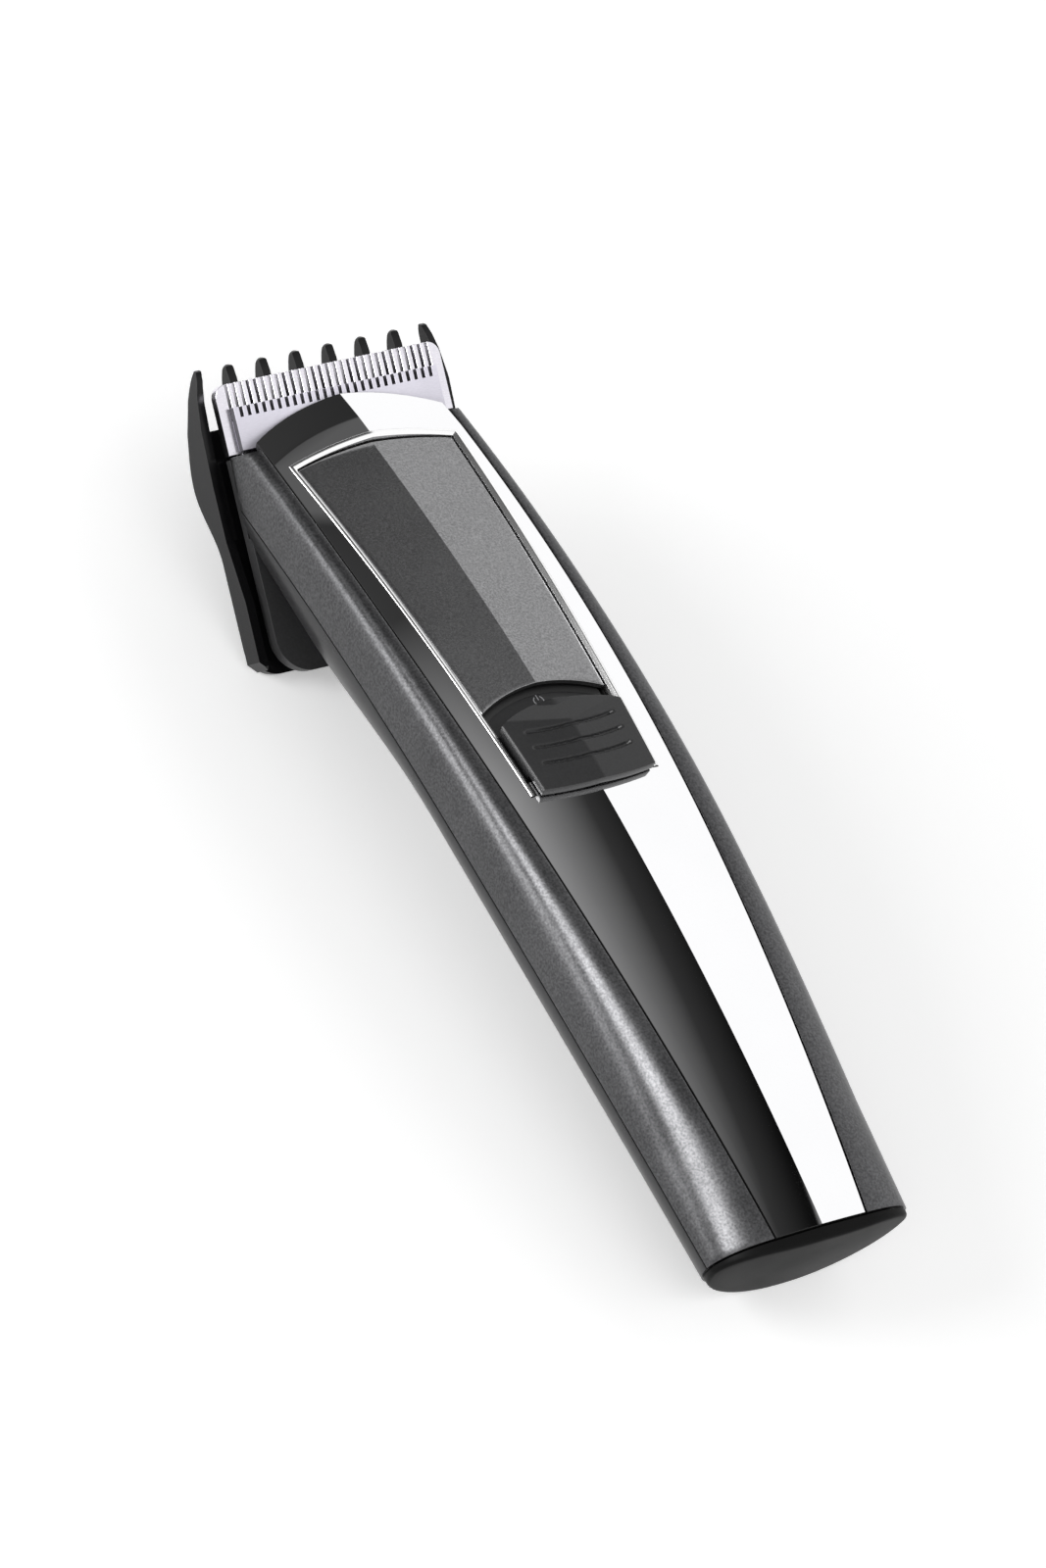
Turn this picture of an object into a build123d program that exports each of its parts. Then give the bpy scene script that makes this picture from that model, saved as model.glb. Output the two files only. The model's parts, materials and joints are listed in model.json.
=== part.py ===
from build123d import *
import math
import os

# Cordless hair clipper with a guide comb, in millimetres.
# The design frame: X across the body, Y from the bottom end to the blade along the chord of the
# front seam, Z out of the front face. The finished clipper is then laid on its back, +Z up.

# --- driving dimensions: body ---
SEAM_LENGTH = 160.0
SEAM_BULGE = 7.4
PANEL_END_HALF_WIDTH = 8.4
PANEL_WIDTH_GAIN = 9.4
BODY_END_HALF_WIDTH = 18.4
BODY_WIDTH_GAIN = 3.0
RIDGE_START = 0.4
RIDGE_GAIN = 2.0
PLATE_RIDGE_SHARE = 0.25
WALL = 1.8
SEAM_GAP = 0.25
ROOF_HALF = 24.0
ROOF_STATIONS = [72, 84, 96, 108, 120, 132, 144, 158]
SECTION_STATIONS = [-7, 4, 16, 32, 50, 70, 88, 100, 110, 120, 132, 144, 156, 168]

# --- driving dimensions: bottom end ---
END_TILT = 8.6
END_APEX = (0.2, -9.0)
END_DOME_RADIUS = 130.0
CAP_DEPTH = 2.6
CAP_GAP = 0.3

# --- driving dimensions: plate and switch ---
PLATE_BOTTOM_Y = 97.0
PLATE_TOP_Y = 150.6
PLATE_BOTTOM_HALF = 11.5
PLATE_TOP_HALF = 14.5
PLATE_TOP_RISE = 1.8
PLATE_BOTTOM_RISE = 3.0
PLATE_THICKNESS = 1.0
PLATE_RECESS = 0.2
BEZEL_WIDTH = 1.1
BEZEL_PROUD = 0.35
BEZEL_DEPTH = 1.4
PLATE_GAP = 0.2
SWITCH_BOTTOM_Y = 80.1
SWITCH_TRAVEL = 3.4
SWITCH_PROUD = 2.0
RAMP_START = 90.6
RAMP_ANGLE = 21.0
LEDGE_TOP = 1.5
LEDGE_THICKNESS = 0.55
POCKET_FLOOR = 2.3
POCKET_BASE = 3.5
POCKET_BOTTOM_Y = 83.0

# --- driving dimensions: blade, measured in the blade frame ---
# (x across, u along the teeth towards their tips, n out of the cutter's front face)
BLADE_ORIGIN = (159.1, -1.5)
BLADE_ANGLE = 30.0
CUTTER_HALF = 19.2
CUTTER_THICKNESS = 1.2
CUTTER_TIP = 6.3
CUTTER_STROKE = 1.0
SPRING_WIRE = 0.45
SPRING_U = -16.5
BLADE_SCREW_X = 8.0
BLADE_SCREW_U = -10.5
PEG_X = 7.0
PEG_U = -3.4
FIXED_HALF = 21.2
FIXED_THICKNESS = 1.5
FIXED_TIP = 10.2
TOOTH_PITCH = 1.35
SEAT_LEVEL = -1.6
SHELL_FRONT = -1.3
HOLDER_BACK = -3.95
FOREHEAD_RADIUS = 35.3
FOREHEAD_Y = 163.0

# --- driving dimensions: guide comb ---
COMB_HALF = 23.5
COMB_WALL = 1.5
COMB_PITCH = 6.25
COMB_TOOTH = 1.4
COMB_TIP = 13.4
COMB_END = -36.0
LEDGE_INNER = 17.6
LEDGE_END = 3.6

# --- driving dimensions: inside ---
CELL_RADIUS = 7.1
CELL_LENGTH = 42.0
CELL_START = 24.0
CELL_X = 7.35
CELL_Z = -4.9
BOARD_START = 69.5
BOARD_END = 96.0
BOARD_HALF = 13.0
BOARD_TOP = 0.4
BOARD_THICKNESS = 1.2
BOARD_SCREW_X = 10.5
LEAD_X = 5.6
MOTOR_START = 98.4
MOTOR_LENGTH = 25.0
MOTOR_RADIUS = 9.0
MOTOR_FLAT = 6.6
MOTOR_Z = -5.6
MOTOR_SCREW_X = 6.0
TERMINAL_X = 5.0
ROTOR_RADIUS = 5.3
SHAFT_RADIUS = 1.0
SHAFT_END = 131.5
CAM_START = 126.4
CAM_RADIUS = 3.0
PIN_RADIUS = 0.8
PIN_THROW = 1.0

# --- driving dimensions: how it lies ---
REST_TILT = 3.95
HEEL_FLAT = 0.35
BIG = 400.0

os.makedirs("parts", exist_ok=True)


# --- shape of the body as functions of the place along it ---
def quarter_wave(y, length):
    return math.sin(math.pi / 2 * y / length)


def smooth_step(value, low, high):
    t = min(max((value - low) / (high - low), 0.0), 1.0)
    return t * t * (3 - 2 * t)


def seam_half(y):
    return PANEL_END_HALF_WIDTH + PANEL_WIDTH_GAIN * quarter_wave(y, 150.0)


def seam_level(y):
    half = SEAM_LENGTH / 2
    return SEAM_BULGE * (1 - ((y - half) / half) ** 2)


def ridge_rise(y):
    return RIDGE_START + RIDGE_GAIN * max(y, 0.0) / 160.0


def body_half(y):
    return BODY_END_HALF_WIDTH + BODY_WIDTH_GAIN * quarter_wave(y, 125.0)


def parting_level(y):
    reach = 85.0 if y < 85.0 else 65.0
    drop = 3.1 if y < 85.0 else 5.4
    return -2.1 - drop * ((y - 85.0) / reach) ** 2


def back_level(y):
    return -16.9 + 0.028 * y - 7.2 * smooth_step(y, 90.0, 130.0)


def shoulder_power(y):
    return 2.0 + 1.4 * min(max((y - 20.0) / 60.0, 0.0), 1.0)


def plate_half(y):
    slope = (PLATE_TOP_HALF - PLATE_BOTTOM_HALF) / (PLATE_TOP_Y - PLATE_BOTTOM_Y)
    return PLATE_BOTTOM_HALF + slope * (y - PLATE_BOTTOM_Y)


# --- lofted bodies ---
def section(y, inset):
    half = body_half(y) - inset
    seam_x = seam_half(y)
    seam_z = seam_level(y) - inset
    ridge_z = seam_z + ridge_rise(y)
    parting_z = parting_level(y)
    back_z = back_level(y) + inset
    power = 2.0 / shoulder_power(y)
    side = []
    for step in range(7):
        angle = math.radians(90.0 - 15.0 * step)
        across = seam_x + (half - seam_x) * abs(math.cos(angle)) ** power
        side.append((across, y, parting_z + (seam_z - parting_z) * abs(math.sin(angle)) ** power))
    bottom = []
    for step in range(6):
        angle = math.radians(18.0 * step)
        bottom.append((half * math.cos(angle), y, parting_z + (back_z - parting_z) * math.sin(angle)))
    left_bottom = [(-x, y, z) for x, y, z in reversed(bottom)]
    left_side = [(-x, y, z) for x, y, z in reversed(side)]
    edges = [
        Line((-seam_x, y, seam_z), (0, y, ridge_z)),
        Line((0, y, ridge_z), (seam_x, y, seam_z)),
        Spline(*side, tangents=((1, 0, 0), (0, 0, -1))),
        Spline(*bottom, tangents=((0, 0, -1), (-1, 0, 0))),
        Spline(*left_bottom, tangents=((-1, 0, 0), (0, 0, 1))),
        Spline(*left_side, tangents=((0, 0, 1), (1, 0, 0))),
    ]
    return Wire(edges)


def body_solid(inset, overrun=0.0):
    stations = [SECTION_STATIONS[0] - overrun] + SECTION_STATIONS[1:-1] + [SECTION_STATIONS[-1] + overrun]
    return Solid.make_loft([section(y, inset) for y in stations])


def roof_solid(inset, ridge_share, overrun=0.0):
    """Everything under the front face's two facets, sunk by inset, over the plate and switch."""
    sections = []
    for y in [ROOF_STATIONS[0] - overrun] + ROOF_STATIONS[1:-1] + [ROOF_STATIONS[-1] + overrun]:
        rise = ridge_share * ridge_rise(y)
        ridge_z = seam_level(y) - inset + rise
        side_z = ridge_z - rise * ROOF_HALF / seam_half(y)
        corners = [(-ROOF_HALF, y, -40), (ROOF_HALF, y, -40), (ROOF_HALF, y, side_z), (0, y, ridge_z)]
        corners.append((-ROOF_HALF, y, side_z))
        sections.append(Wire(Polyline(*corners, close=True).edges()))
    return Solid.make_loft(sections)


def roof_layer(top, bottom, ridge_share=1.0, bottom_ridge_share=None):
    """The space between two roof surfaces, top and bottom being depths below the front face."""
    bottom_share = ridge_share if bottom_ridge_share is None else bottom_ridge_share
    return roof_solid(top, ridge_share) - roof_solid(bottom, bottom_share, 1.0)


def plan_prism(outline, low=-60.0, high=60.0):
    return Pos(0, 0, low) * extrude(make_face(outline), high - low)


def front_prism(outline):
    """A plan outline taken only through the front half of the body."""
    return plan_prism(outline, -9.0, 60.0)


def box_at(low, high):
    size = [b - a for a, b in zip(low, high)]
    return Pos(*[(a + b) / 2 for a, b in zip(low, high)]) * Box(*size)


# --- the regions that the pieces are cut from ---
def seam_region(offset):
    stations = [-20, 0, 20, 45, 75, 105, 135, 170]
    right = [(seam_half(y) + offset, y) for y in stations]
    left = [(-x, y) for x, y in reversed(right)]
    outline = [Spline(*right), Line(right[-1], left[0]), Spline(*left), Line(left[-1], right[0])]
    return plan_prism(outline)


def above_parting(offset):
    stations = [-20, 10, 35, 60, 85, 105, 125, 145, 170]
    curve = [(0, y, parting_level(y) + offset) for y in stations]
    first, last = curve[0], curve[-1]
    corners = [last, (0, last[1], 60), (0, first[1], 60), first]
    profile = make_face([Spline(*curve), Polyline(*corners)])
    return extrude(profile, BIG / 2, dir=(1, 0, 0), both=True)


END_PLACE = Pos(0, END_APEX[0], END_APEX[1]) * Rot(END_TILT, 0, 0)
BLADE_PLACE = Pos(0, BLADE_ORIGIN[0], BLADE_ORIGIN[1]) * Rot(BLADE_ANGLE, 0, 0)


def end_dome():
    return END_PLACE * Pos(0, END_DOME_RADIUS, 0) * Sphere(END_DOME_RADIUS)


def beyond_cap(offset):
    return END_PLACE * box_at((-BIG / 2, CAP_DEPTH + offset, -BIG / 2), (BIG / 2, BIG, BIG / 2))


def in_front_of_seat():
    return BLADE_PLACE * box_at((-BIG / 2, -BIG, SEAT_LEVEL), (BIG / 2, BIG, BIG))


def forehead_region():
    centre_y = FOREHEAD_Y - FOREHEAD_RADIUS
    disc = Pos(0, centre_y, 0) * Cylinder(FOREHEAD_RADIUS, 120)
    return disc + box_at((-60, -40, -60), (60, centre_y + 8, 60))


def rim_outline(offset, bottom_y):
    bottom_half = plate_half(bottom_y) + offset
    top_half = PLATE_TOP_HALF + offset
    top_y = PLATE_TOP_Y + offset * 0.7
    peak_y = PLATE_TOP_Y + PLATE_TOP_RISE + offset
    return [
        Line((-bottom_half, bottom_y), (bottom_half, bottom_y)),
        Line((bottom_half, bottom_y), (top_half, top_y)),
        ThreePointArc((top_half, top_y), (0, peak_y), (-top_half, top_y)),
        Line((-top_half, top_y), (-bottom_half, bottom_y)),
    ]


# --- outer pieces ---
def cut_ends(shape):
    return shape & beyond_cap(0) & in_front_of_seat()


def make_front_panel(shell):
    skin = cut_ends(shell & seam_region(-SEAM_GAP / 2) & above_parting(2.0)) & forehead_region()
    cup_outline = rim_outline(BEZEL_WIDTH + 1.2, POCKET_BOTTOM_Y - 1.2)
    cup = roof_layer(0.4, POCKET_BASE, 1.0, PLATE_RIDGE_SHARE) & front_prism(cup_outline)
    deep = roof_layer(-8.0, POCKET_FLOOR, PLATE_RIDGE_SHARE)
    deep &= front_prism(rim_outline(PLATE_GAP, POCKET_BOTTOM_Y))
    rim = roof_layer(-8.0, BEZEL_DEPTH + 0.03)
    rim &= front_prism(rim_outline(BEZEL_WIDTH + 0.23, POCKET_BOTTOM_Y - 2.6))
    rim -= front_prism(rim_outline(PLATE_GAP, POCKET_BOTTOM_Y - 4.0))
    stem_slot = box_at((-2.4, 84.6, -20), (2.4, 84.6 + 4.0 + SWITCH_TRAVEL + 1.2, 30))
    cutter_room = BLADE_PLACE * box_at((-30, -16, -8), (30, 20, 0.35))
    drive_room = BLADE_PLACE * box_at((-12, -20, -8), (12, -3.5, 3.1))
    return (skin + cup) - deep - rim - stem_slot - cutter_room - drive_room


def make_bezel():
    start_y = POCKET_BOTTOM_Y - 2.5
    ring = front_prism(rim_outline(BEZEL_WIDTH + PLATE_GAP, start_y))
    ring -= front_prism(rim_outline(PLATE_GAP, start_y - 4.0))
    return roof_layer(-BEZEL_PROUD, BEZEL_DEPTH) & ring


def plate_outline():
    low, high = PLATE_BOTTOM_HALF, PLATE_TOP_HALF
    bottom, top = PLATE_BOTTOM_Y, PLATE_TOP_Y
    return [
        ThreePointArc((-low, bottom), (0, bottom + PLATE_BOTTOM_RISE), (low, bottom)),
        Line((low, bottom), (high, top)),
        ThreePointArc((high, top), (0, top + PLATE_TOP_RISE), (-high, top)),
        Line((-high, top), (-low, bottom)),
    ]


def make_face_plate():
    bottom = PLATE_RECESS + PLATE_THICKNESS
    plate = roof_layer(PLATE_RECESS, bottom, PLATE_RIDGE_SHARE) & front_prism(plate_outline())
    under = roof_layer(bottom - 0.1, POCKET_FLOOR, PLATE_RIDGE_SHARE)
    for x, y in [(-9, 108), (9, 108), (-11, 143), (11, 143), (0, 126)]:
        plate += under & (Pos(x, y, 21) * Cylinder(2.0, 60))
    return plate


def switch_outline(low_y, high_y, shrink=0.0):
    low = plate_half(low_y) - shrink
    high = plate_half(high_y) - shrink
    return [
        ThreePointArc((-low, low_y), (0, low_y - 0.9), (low, low_y)),
        Line((low, low_y), (high, high_y)),
        ThreePointArc((high, high_y), (0, high_y + PLATE_BOTTOM_RISE), (-high, high_y)),
        Line((-high, high_y), (-low, low_y)),
    ]


def make_switch_button():
    pad_top_y = PLATE_BOTTOM_Y - SWITCH_TRAVEL - 0.8
    pad_plan = front_prism(switch_outline(SWITCH_BOTTOM_Y, pad_top_y, 0.2))
    pad = roof_layer(-SWITCH_PROUD, -0.25) & pad_plan
    ramp_level = seam_level(RAMP_START) + ridge_rise(RAMP_START) + SWITCH_PROUD
    pad -= Pos(0, RAMP_START, ramp_level) * Rot(-RAMP_ANGLE, 0, 0) * box_at((-30, 0, 0), (30, 30, 10))
    body = roof_layer(-0.6, LEDGE_TOP + 0.1, PLATE_RIDGE_SHARE)
    low_y = POCKET_BOTTOM_Y + 0.3
    pad += body & front_prism(switch_outline(low_y + 0.9, pad_top_y - 0.4, 0.5))
    ledge = roof_layer(LEDGE_TOP, LEDGE_TOP + LEDGE_THICKNESS, PLATE_RIDGE_SHARE)
    pad += ledge & front_prism(switch_outline(low_y + 0.9, PLATE_BOTTOM_Y + 1.6, 0.5))
    stem = box_at((-2.0, 85.0, 3.6), (2.0, 88.6, 7.0))
    pad += stem
    for y in (83.5, 86.5, 89.5):
        groove = Pos(0, y + 40.6, 0) * (Cylinder(40.6, 60) - Cylinder(40.0, 60))
        groove &= box_at((-8.2, y - 2, -60), (8.2, y + 3, 60))
        pad -= groove & roof_layer(-SWITCH_PROUD - 1, -SWITCH_PROUD + 0.5)
    return pad


def make_side_shells(shell):
    both = cut_ends(shell & above_parting(SEAM_GAP / 2)) - seam_region(SEAM_GAP / 2)
    both &= BLADE_PLACE * box_at((-BIG, -BIG, -BIG), (BIG, SHELL_FRONT, BIG))
    left = both & box_at((-60, -20, -60), (0, 200, 60))
    right = both & box_at((0, -20, -60), (60, 200, 60))
    return left, right


CASE_SCREWS = [(-12.0, 12.0), (12.0, 12.0), (-9.5, 93.0), (9.5, 93.0)]
CONTACTS = [(-5.0, 16.0), (5.0, 16.0)]


def make_back_cover(outer, shell):
    cover = cut_ends(shell - above_parting(-SEAM_GAP / 2))
    for x, y in CASE_SCREWS:
        top = case_screw_seat(y) + 4.4
        post = box_at((x - 4, y - 4, -30), (x + 4, y + 4, top)) & (Pos(x, y, 0) * Cylinder(3.3, 80))
        cover += (post & outer)
    for x, y in CASE_SCREWS:
        floor = case_screw_seat(y)
        cover -= Pos(x, y, floor - 20) * Cylinder(2.35, 40)
        cover -= Pos(x, y, 0) * Cylinder(1.1, 60)
    for x, y in CONTACTS:
        cover -= Pos(x, y, -15) * Cylinder(1.5, 20)
    return cover


def case_screw_seat(y):
    return -9.6 if y < 50 else -9.0


def make_case_screws():
    screws = []
    for x, y in CASE_SCREWS:
        seat = case_screw_seat(y)
        head = Pos(x, y, seat - 0.75) * Cylinder(2.1, 1.5)
        shank = Pos(x, y, seat + 4.0) * Cylinder(1.05, 8.0)
        recess = Pos(x, y, seat - 1.3) * (Box(2.4, 0.5, 0.8) + Box(0.5, 2.4, 0.8))
        screws.append(head + shank - recess)
    return Compound(screws)


def make_end_cap():
    inner = body_solid(CAP_GAP)
    cap = (inner & end_dome()) - beyond_cap(-CAP_GAP)
    plug = body_solid(WALL + 0.7) & (END_PLACE * box_at((-60, 1.0, -60), (60, CAP_DEPTH + 3.0, 60)))
    plug -= body_solid(WALL + 2.0)
    return cap + plug


# --- blade unit, in the blade frame ---
def tooth_gaps(half, base, tip, gap, count):
    gaps = []
    pitch = 2 * half / count
    for index in range(count):
        x = -half + pitch * (index + 0.5)
        gaps.append(box_at((x - gap / 2, base, -20), (x + gap / 2, tip + 5, 20)))
    return gaps


def make_fixed_blade():
    top = -CUTTER_THICKNESS
    plate = box_at((-FIXED_HALF, SHELL_FRONT + 0.3, top - FIXED_THICKNESS), (FIXED_HALF, FIXED_TIP, top))
    corners = plate.edges().filter_by(Axis.Z).sort_by(Axis.Y)[-2:]
    plate = fillet(corners, 2.2)
    plate += box_at((-18.8, -14.0, top - FIXED_THICKNESS), (18.8, 0, top))
    wedge = Pos(0, FIXED_TIP, top - FIXED_THICKNESS) * Rot(12, 0, 0) * box_at((-30, -4.0, -4), (30, 4, 0))
    plate -= wedge
    count = int(2 * 19.6 / TOOTH_PITCH)
    for gap in tooth_gaps(19.6, 4.2, FIXED_TIP, 0.6, count):
        plate -= gap
    for x in (-BLADE_SCREW_X, BLADE_SCREW_X):
        plate -= Pos(x, BLADE_SCREW_U, -2) * Cylinder(1.35, 20)
    return plate


def make_moving_cutter():
    low = -CUTTER_THICKNESS + 0.03
    front = box_at((-CUTTER_HALF, -0.6, low), (CUTTER_HALF, CUTTER_TIP, 0))
    rear = box_at((-13.0, -6.0, low), (13.0, 0, 0))
    cutter = front + rear
    count = int(2 * 18.6 / TOOTH_PITCH) - 1
    for gap in tooth_gaps(18.6, 4.6, CUTTER_TIP, 0.65, count):
        cutter -= gap
    for x in (-PEG_X, PEG_X):
        cutter -= Pos(x, PEG_U, 0) * Cylinder(1.0, 10)
    return cutter


def make_blade_holder():
    plate = box_at((-20.4, -36.6, HOLDER_BACK), (20.4, -1.6, SEAT_LEVEL - 0.15))
    plate -= box_at((-30, -14.3, -CUTTER_THICKNESS - FIXED_THICKNESS - 0.03), (30, 5, 5))
    corners = plate.edges().filter_by(Axis.Z).sort_by(Axis.Y)[:2]
    plate = fillet(corners, 6.0)
    for x in (-BLADE_SCREW_X, BLADE_SCREW_X):
        plate += box_at((x - 1.8, -18.2, SEAT_LEVEL - 0.3), (x + 1.8, -14.8, SEAT_LEVEL + 3.2))
        plate -= Pos(x, SPRING_U, 0) * Cylinder(SPRING_WIRE + 0.02, 5.0)
        plate -= Pos(x, BLADE_SCREW_U, -3) * Cylinder(1.15, 20)
        plate -= Pos(x, BLADE_SCREW_U, HOLDER_BACK) * Cylinder(2.1, 1.6)
    return plate


def make_blade_screws():
    screws = []
    for x in (-BLADE_SCREW_X, BLADE_SCREW_X):
        screw = Pos(x, BLADE_SCREW_U, HOLDER_BACK + 0.4) * Cylinder(2.0, 0.76)
        screw += Pos(x, BLADE_SCREW_U, HOLDER_BACK + 1.85) * Cylinder(1.1, 3.4)
        screw -= Pos(x, BLADE_SCREW_U, HOLDER_BACK) * (Box(2.2, 0.5, 0.6) + Box(0.5, 2.2, 0.6))
        screws.append(screw)
    return Compound(screws)


def comb_profile(inner):
    """Side outline of a comb tooth or wall in (u, n); inner moves the front edge back for a tooth."""
    front = -3.9
    under_holder = HOLDER_BACK - 0.35
    back_edge = Spline(
        (COMB_TIP - 0.7, -5.5), (8.1, -7.2), (2.0, -9.1), (-5.6, -10.4), (-12.0, -8.3), (-17.0, -7.0),
        tangents=((-0.7, -0.5), (-1, 0.05)),
    )
    if inner:
        ahead = [(-17.0, -7.0), (-17.0, -5.6), (-12.0, -5.6), (-9.0, under_holder)]
        ahead += [(0.0, under_holder), (2.0, front), (11.0, front)]
        ahead += [(COMB_TIP - 0.3, -4.3), (COMB_TIP, -4.9), (COMB_TIP - 0.7, -5.5)]
        return [back_edge, Polyline(*ahead)]
    ahead = [(-17.0, -7.0), (COMB_END + 1.0, -6.9), (COMB_END, -6.2), (COMB_END, -4.4)]
    ahead += [(COMB_END + 1.6, -3.0)]
    ahead += [(-24.0, -2.9), (-14.0, -4.4), (-5.0, -4.4), (4.8, front), (11.5, front)]
    ahead += [(COMB_TIP - 0.3, -4.3), (COMB_TIP, -4.9), (COMB_TIP - 0.7, -5.5)]
    return [back_edge, Polyline(*ahead)]


def side_prism(outline, low_x, high_x):
    """Extrude an outline given in (u, n) along X."""
    face = Plane.YZ * make_face(outline)
    return Pos(low_x, 0, 0) * extrude(face, high_x - low_x, dir=(1, 0, 0))


def make_guide_comb():
    plate = box_at((-COMB_HALF, COMB_END, -7.0), (COMB_HALF, -12.0, -5.5))
    corners = plate.edges().filter_by(Axis.Z).sort_by(Axis.Y)[:2]
    plate = fillet(corners, 5.0)
    comb = plate
    half = COMB_TOOTH / 2
    round_start = COMB_TIP - half
    round_end = [
        Polyline((-half, round_start), (-half, -40.0), (half, -40.0), (half, round_start)),
        ThreePointArc((half, round_start), (0, COMB_TIP), (-half, round_start)),
    ]
    tooth = side_prism(comb_profile(True), -half, half) & plan_prism(round_end)
    for index in range(6):
        comb += Pos(COMB_PITCH * (index - 2.5), 0, 0) * tooth
    walls = side_prism(comb_profile(False), COMB_HALF - 3.4, COMB_HALF)
    lean = [
        (COMB_HALF - COMB_WALL, -40), (COMB_HALF, -40), (COMB_HALF, 4.0), (22.9, 9.0), (21.6, 14.0),
        (20.6, 14.0), (21.4, 10.6), (21.8, 8.0), (COMB_HALF - COMB_WALL, 4.0),
    ]
    wall = walls & plan_prism([Polyline(*lean, close=True)])
    beyond = COMB_HALF + 1.0
    wall -= plan_prism([Polyline((19.0, -38.0), (beyond, -38.0), (beyond, -32.6), close=True)])
    comb += wall
    comb += mirror(wall, about=Plane.YZ)
    for low_x, high_x in ((-COMB_HALF + 0.5, -LEDGE_INNER), (LEDGE_INNER, COMB_HALF - 0.5)):
        comb += box_at((low_x, -14.0, -6.6), (high_x, LEDGE_END, -5.1))
    return comb


# --- drive ---
def flat_can(radius, flat, start, length):
    body = Pos(0, start + length / 2, MOTOR_Z) * Rot(90, 0, 0) * Cylinder(radius, length)
    return body & box_at((-30, start - 1, MOTOR_Z - flat), (30, start + length + 1, MOTOR_Z + flat))


def rod(radius, start, end, x=0.0, z=MOTOR_Z):
    return Pos(x, (start + end) / 2, z) * Rot(90, 0, 0) * Cylinder(radius, end - start)


def make_motor():
    end = MOTOR_START + MOTOR_LENGTH
    can = flat_can(MOTOR_RADIUS, MOTOR_FLAT, MOTOR_START, MOTOR_LENGTH)
    can -= flat_can(MOTOR_RADIUS - 0.8, MOTOR_FLAT - 0.8, MOTOR_START - 1, MOTOR_LENGTH + 0.2)
    can += rod(3.0, end - 0.1, end + 1.6)
    can -= rod(2.0, end - 2, end + 3)
    for x in (-MOTOR_SCREW_X, MOTOR_SCREW_X):
        can -= rod(0.8, end - 2, end + 1, x)
    magnets = flat_can(MOTOR_RADIUS - 0.85, MOTOR_FLAT - 0.85, MOTOR_START + 4.5, MOTOR_LENGTH - 8)
    magnets -= rod(ROTOR_RADIUS + 0.4, MOTOR_START, end)
    magnets -= box_at((-4.6, MOTOR_START, -30), (4.6, end, 30))
    bell = flat_can(MOTOR_RADIUS - 0.85, MOTOR_FLAT - 0.85, MOTOR_START + 0.1, 2.6)
    bell -= rod(2.0, MOTOR_START - 1, MOTOR_START + 5)
    for x in (-TERMINAL_X, TERMINAL_X):
        bell -= box_at((x - 1.0, MOTOR_START - 1, MOTOR_Z + 3.9), (x + 1.0, MOTOR_START + 4, MOTOR_Z + 4.6))
    bushes = []
    for start, stop in ((MOTOR_START + 0.1, MOTOR_START + 2.7), (end - 1.4, end + 1.6)):
        bushes.append(rod(1.98, start, stop) - rod(SHAFT_RADIUS + 0.03, start - 1, stop + 1))
    terminals = []
    for x in (-TERMINAL_X, TERMINAL_X):
        low = (x - 0.95, MOTOR_START - 1.6, MOTOR_Z + 3.95)
        terminals.append(box_at(low, (x + 0.95, MOTOR_START + 3.2, MOTOR_Z + 4.5)))
    return can, magnets, bell, Compound(bushes), Compound(terminals)


def make_rotor():
    end = MOTOR_START + MOTOR_LENGTH
    shaft = rod(SHAFT_RADIUS, MOTOR_START + 0.3, SHAFT_END)
    core = rod(ROTOR_RADIUS, MOTOR_START + 7.5, end - 4.2)
    for index in range(3):
        angle = math.radians(90 + 120 * index)
        reach = ROTOR_RADIUS - 0.3
        core -= rod(1.2, MOTOR_START, end, reach * math.cos(angle), MOTOR_Z + reach * math.sin(angle))
    core -= rod(SHAFT_RADIUS, MOTOR_START, end)
    commutator = rod(2.2, MOTOR_START + 3.4, MOTOR_START + 7.3) - rod(SHAFT_RADIUS, MOTOR_START, end)
    cam = rod(CAM_RADIUS, CAM_START, SHAFT_END) - rod(SHAFT_RADIUS, CAM_START - 1, SHAFT_END)
    cam += rod(CAM_RADIUS, SHAFT_END, SHAFT_END + 1.0)
    cam += rod(PIN_RADIUS, SHAFT_END + 1.0, SHAFT_END + 6.0, 0, MOTOR_Z + PIN_THROW)
    return shaft, core, commutator, cam


def make_drive_yoke():
    """Block clipped on the cutter, with a fork open towards the motor round the eccentric's pin."""
    slot_half = PIN_RADIUS + PIN_THROW + CUTTER_STROKE + 0.3
    arm_half = slot_half + 1.4
    block = BLADE_PLACE * box_at((-9.5, -6.0, 0.02), (9.5, -1.8, 2.0))
    for x in (-PEG_X, PEG_X):
        block += BLADE_PLACE * (Pos(x, PEG_U, -0.3) * Cylinder(0.96, 1.4))
    fork_front = SHAFT_END + 2.4
    arm = box_at((-arm_half, fork_front, MOTOR_Z - 3.4), (arm_half, 151.0, MOTOR_Z + 3.0))
    arm &= BLADE_PLACE * box_at((-60, -60, 0.02), (60, -4.0, 60))
    arm -= box_at((-slot_half, fork_front - 1, -60), (slot_half, SHAFT_END + 8.0, 60))
    return block + arm


def make_blade_springs():
    """Two bent wires that stand in the holder's posts and press on the ends of the yoke's block."""
    springs = []
    for x in (-BLADE_SCREW_X, BLADE_SCREW_X):
        level = 2.0 + SPRING_WIRE + 0.08
        leg = Pos(x, SPRING_U, (level - 2.4) / 2) * Cylinder(SPRING_WIRE, level + 2.4)
        arm = Pos(x, -10.2, level) * Rot(90, 0, 0) * Cylinder(SPRING_WIRE, 12.6)
        springs.append(leg + arm + Pos(x, SPRING_U, level) * Sphere(SPRING_WIRE))
    return Compound(springs)


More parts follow.
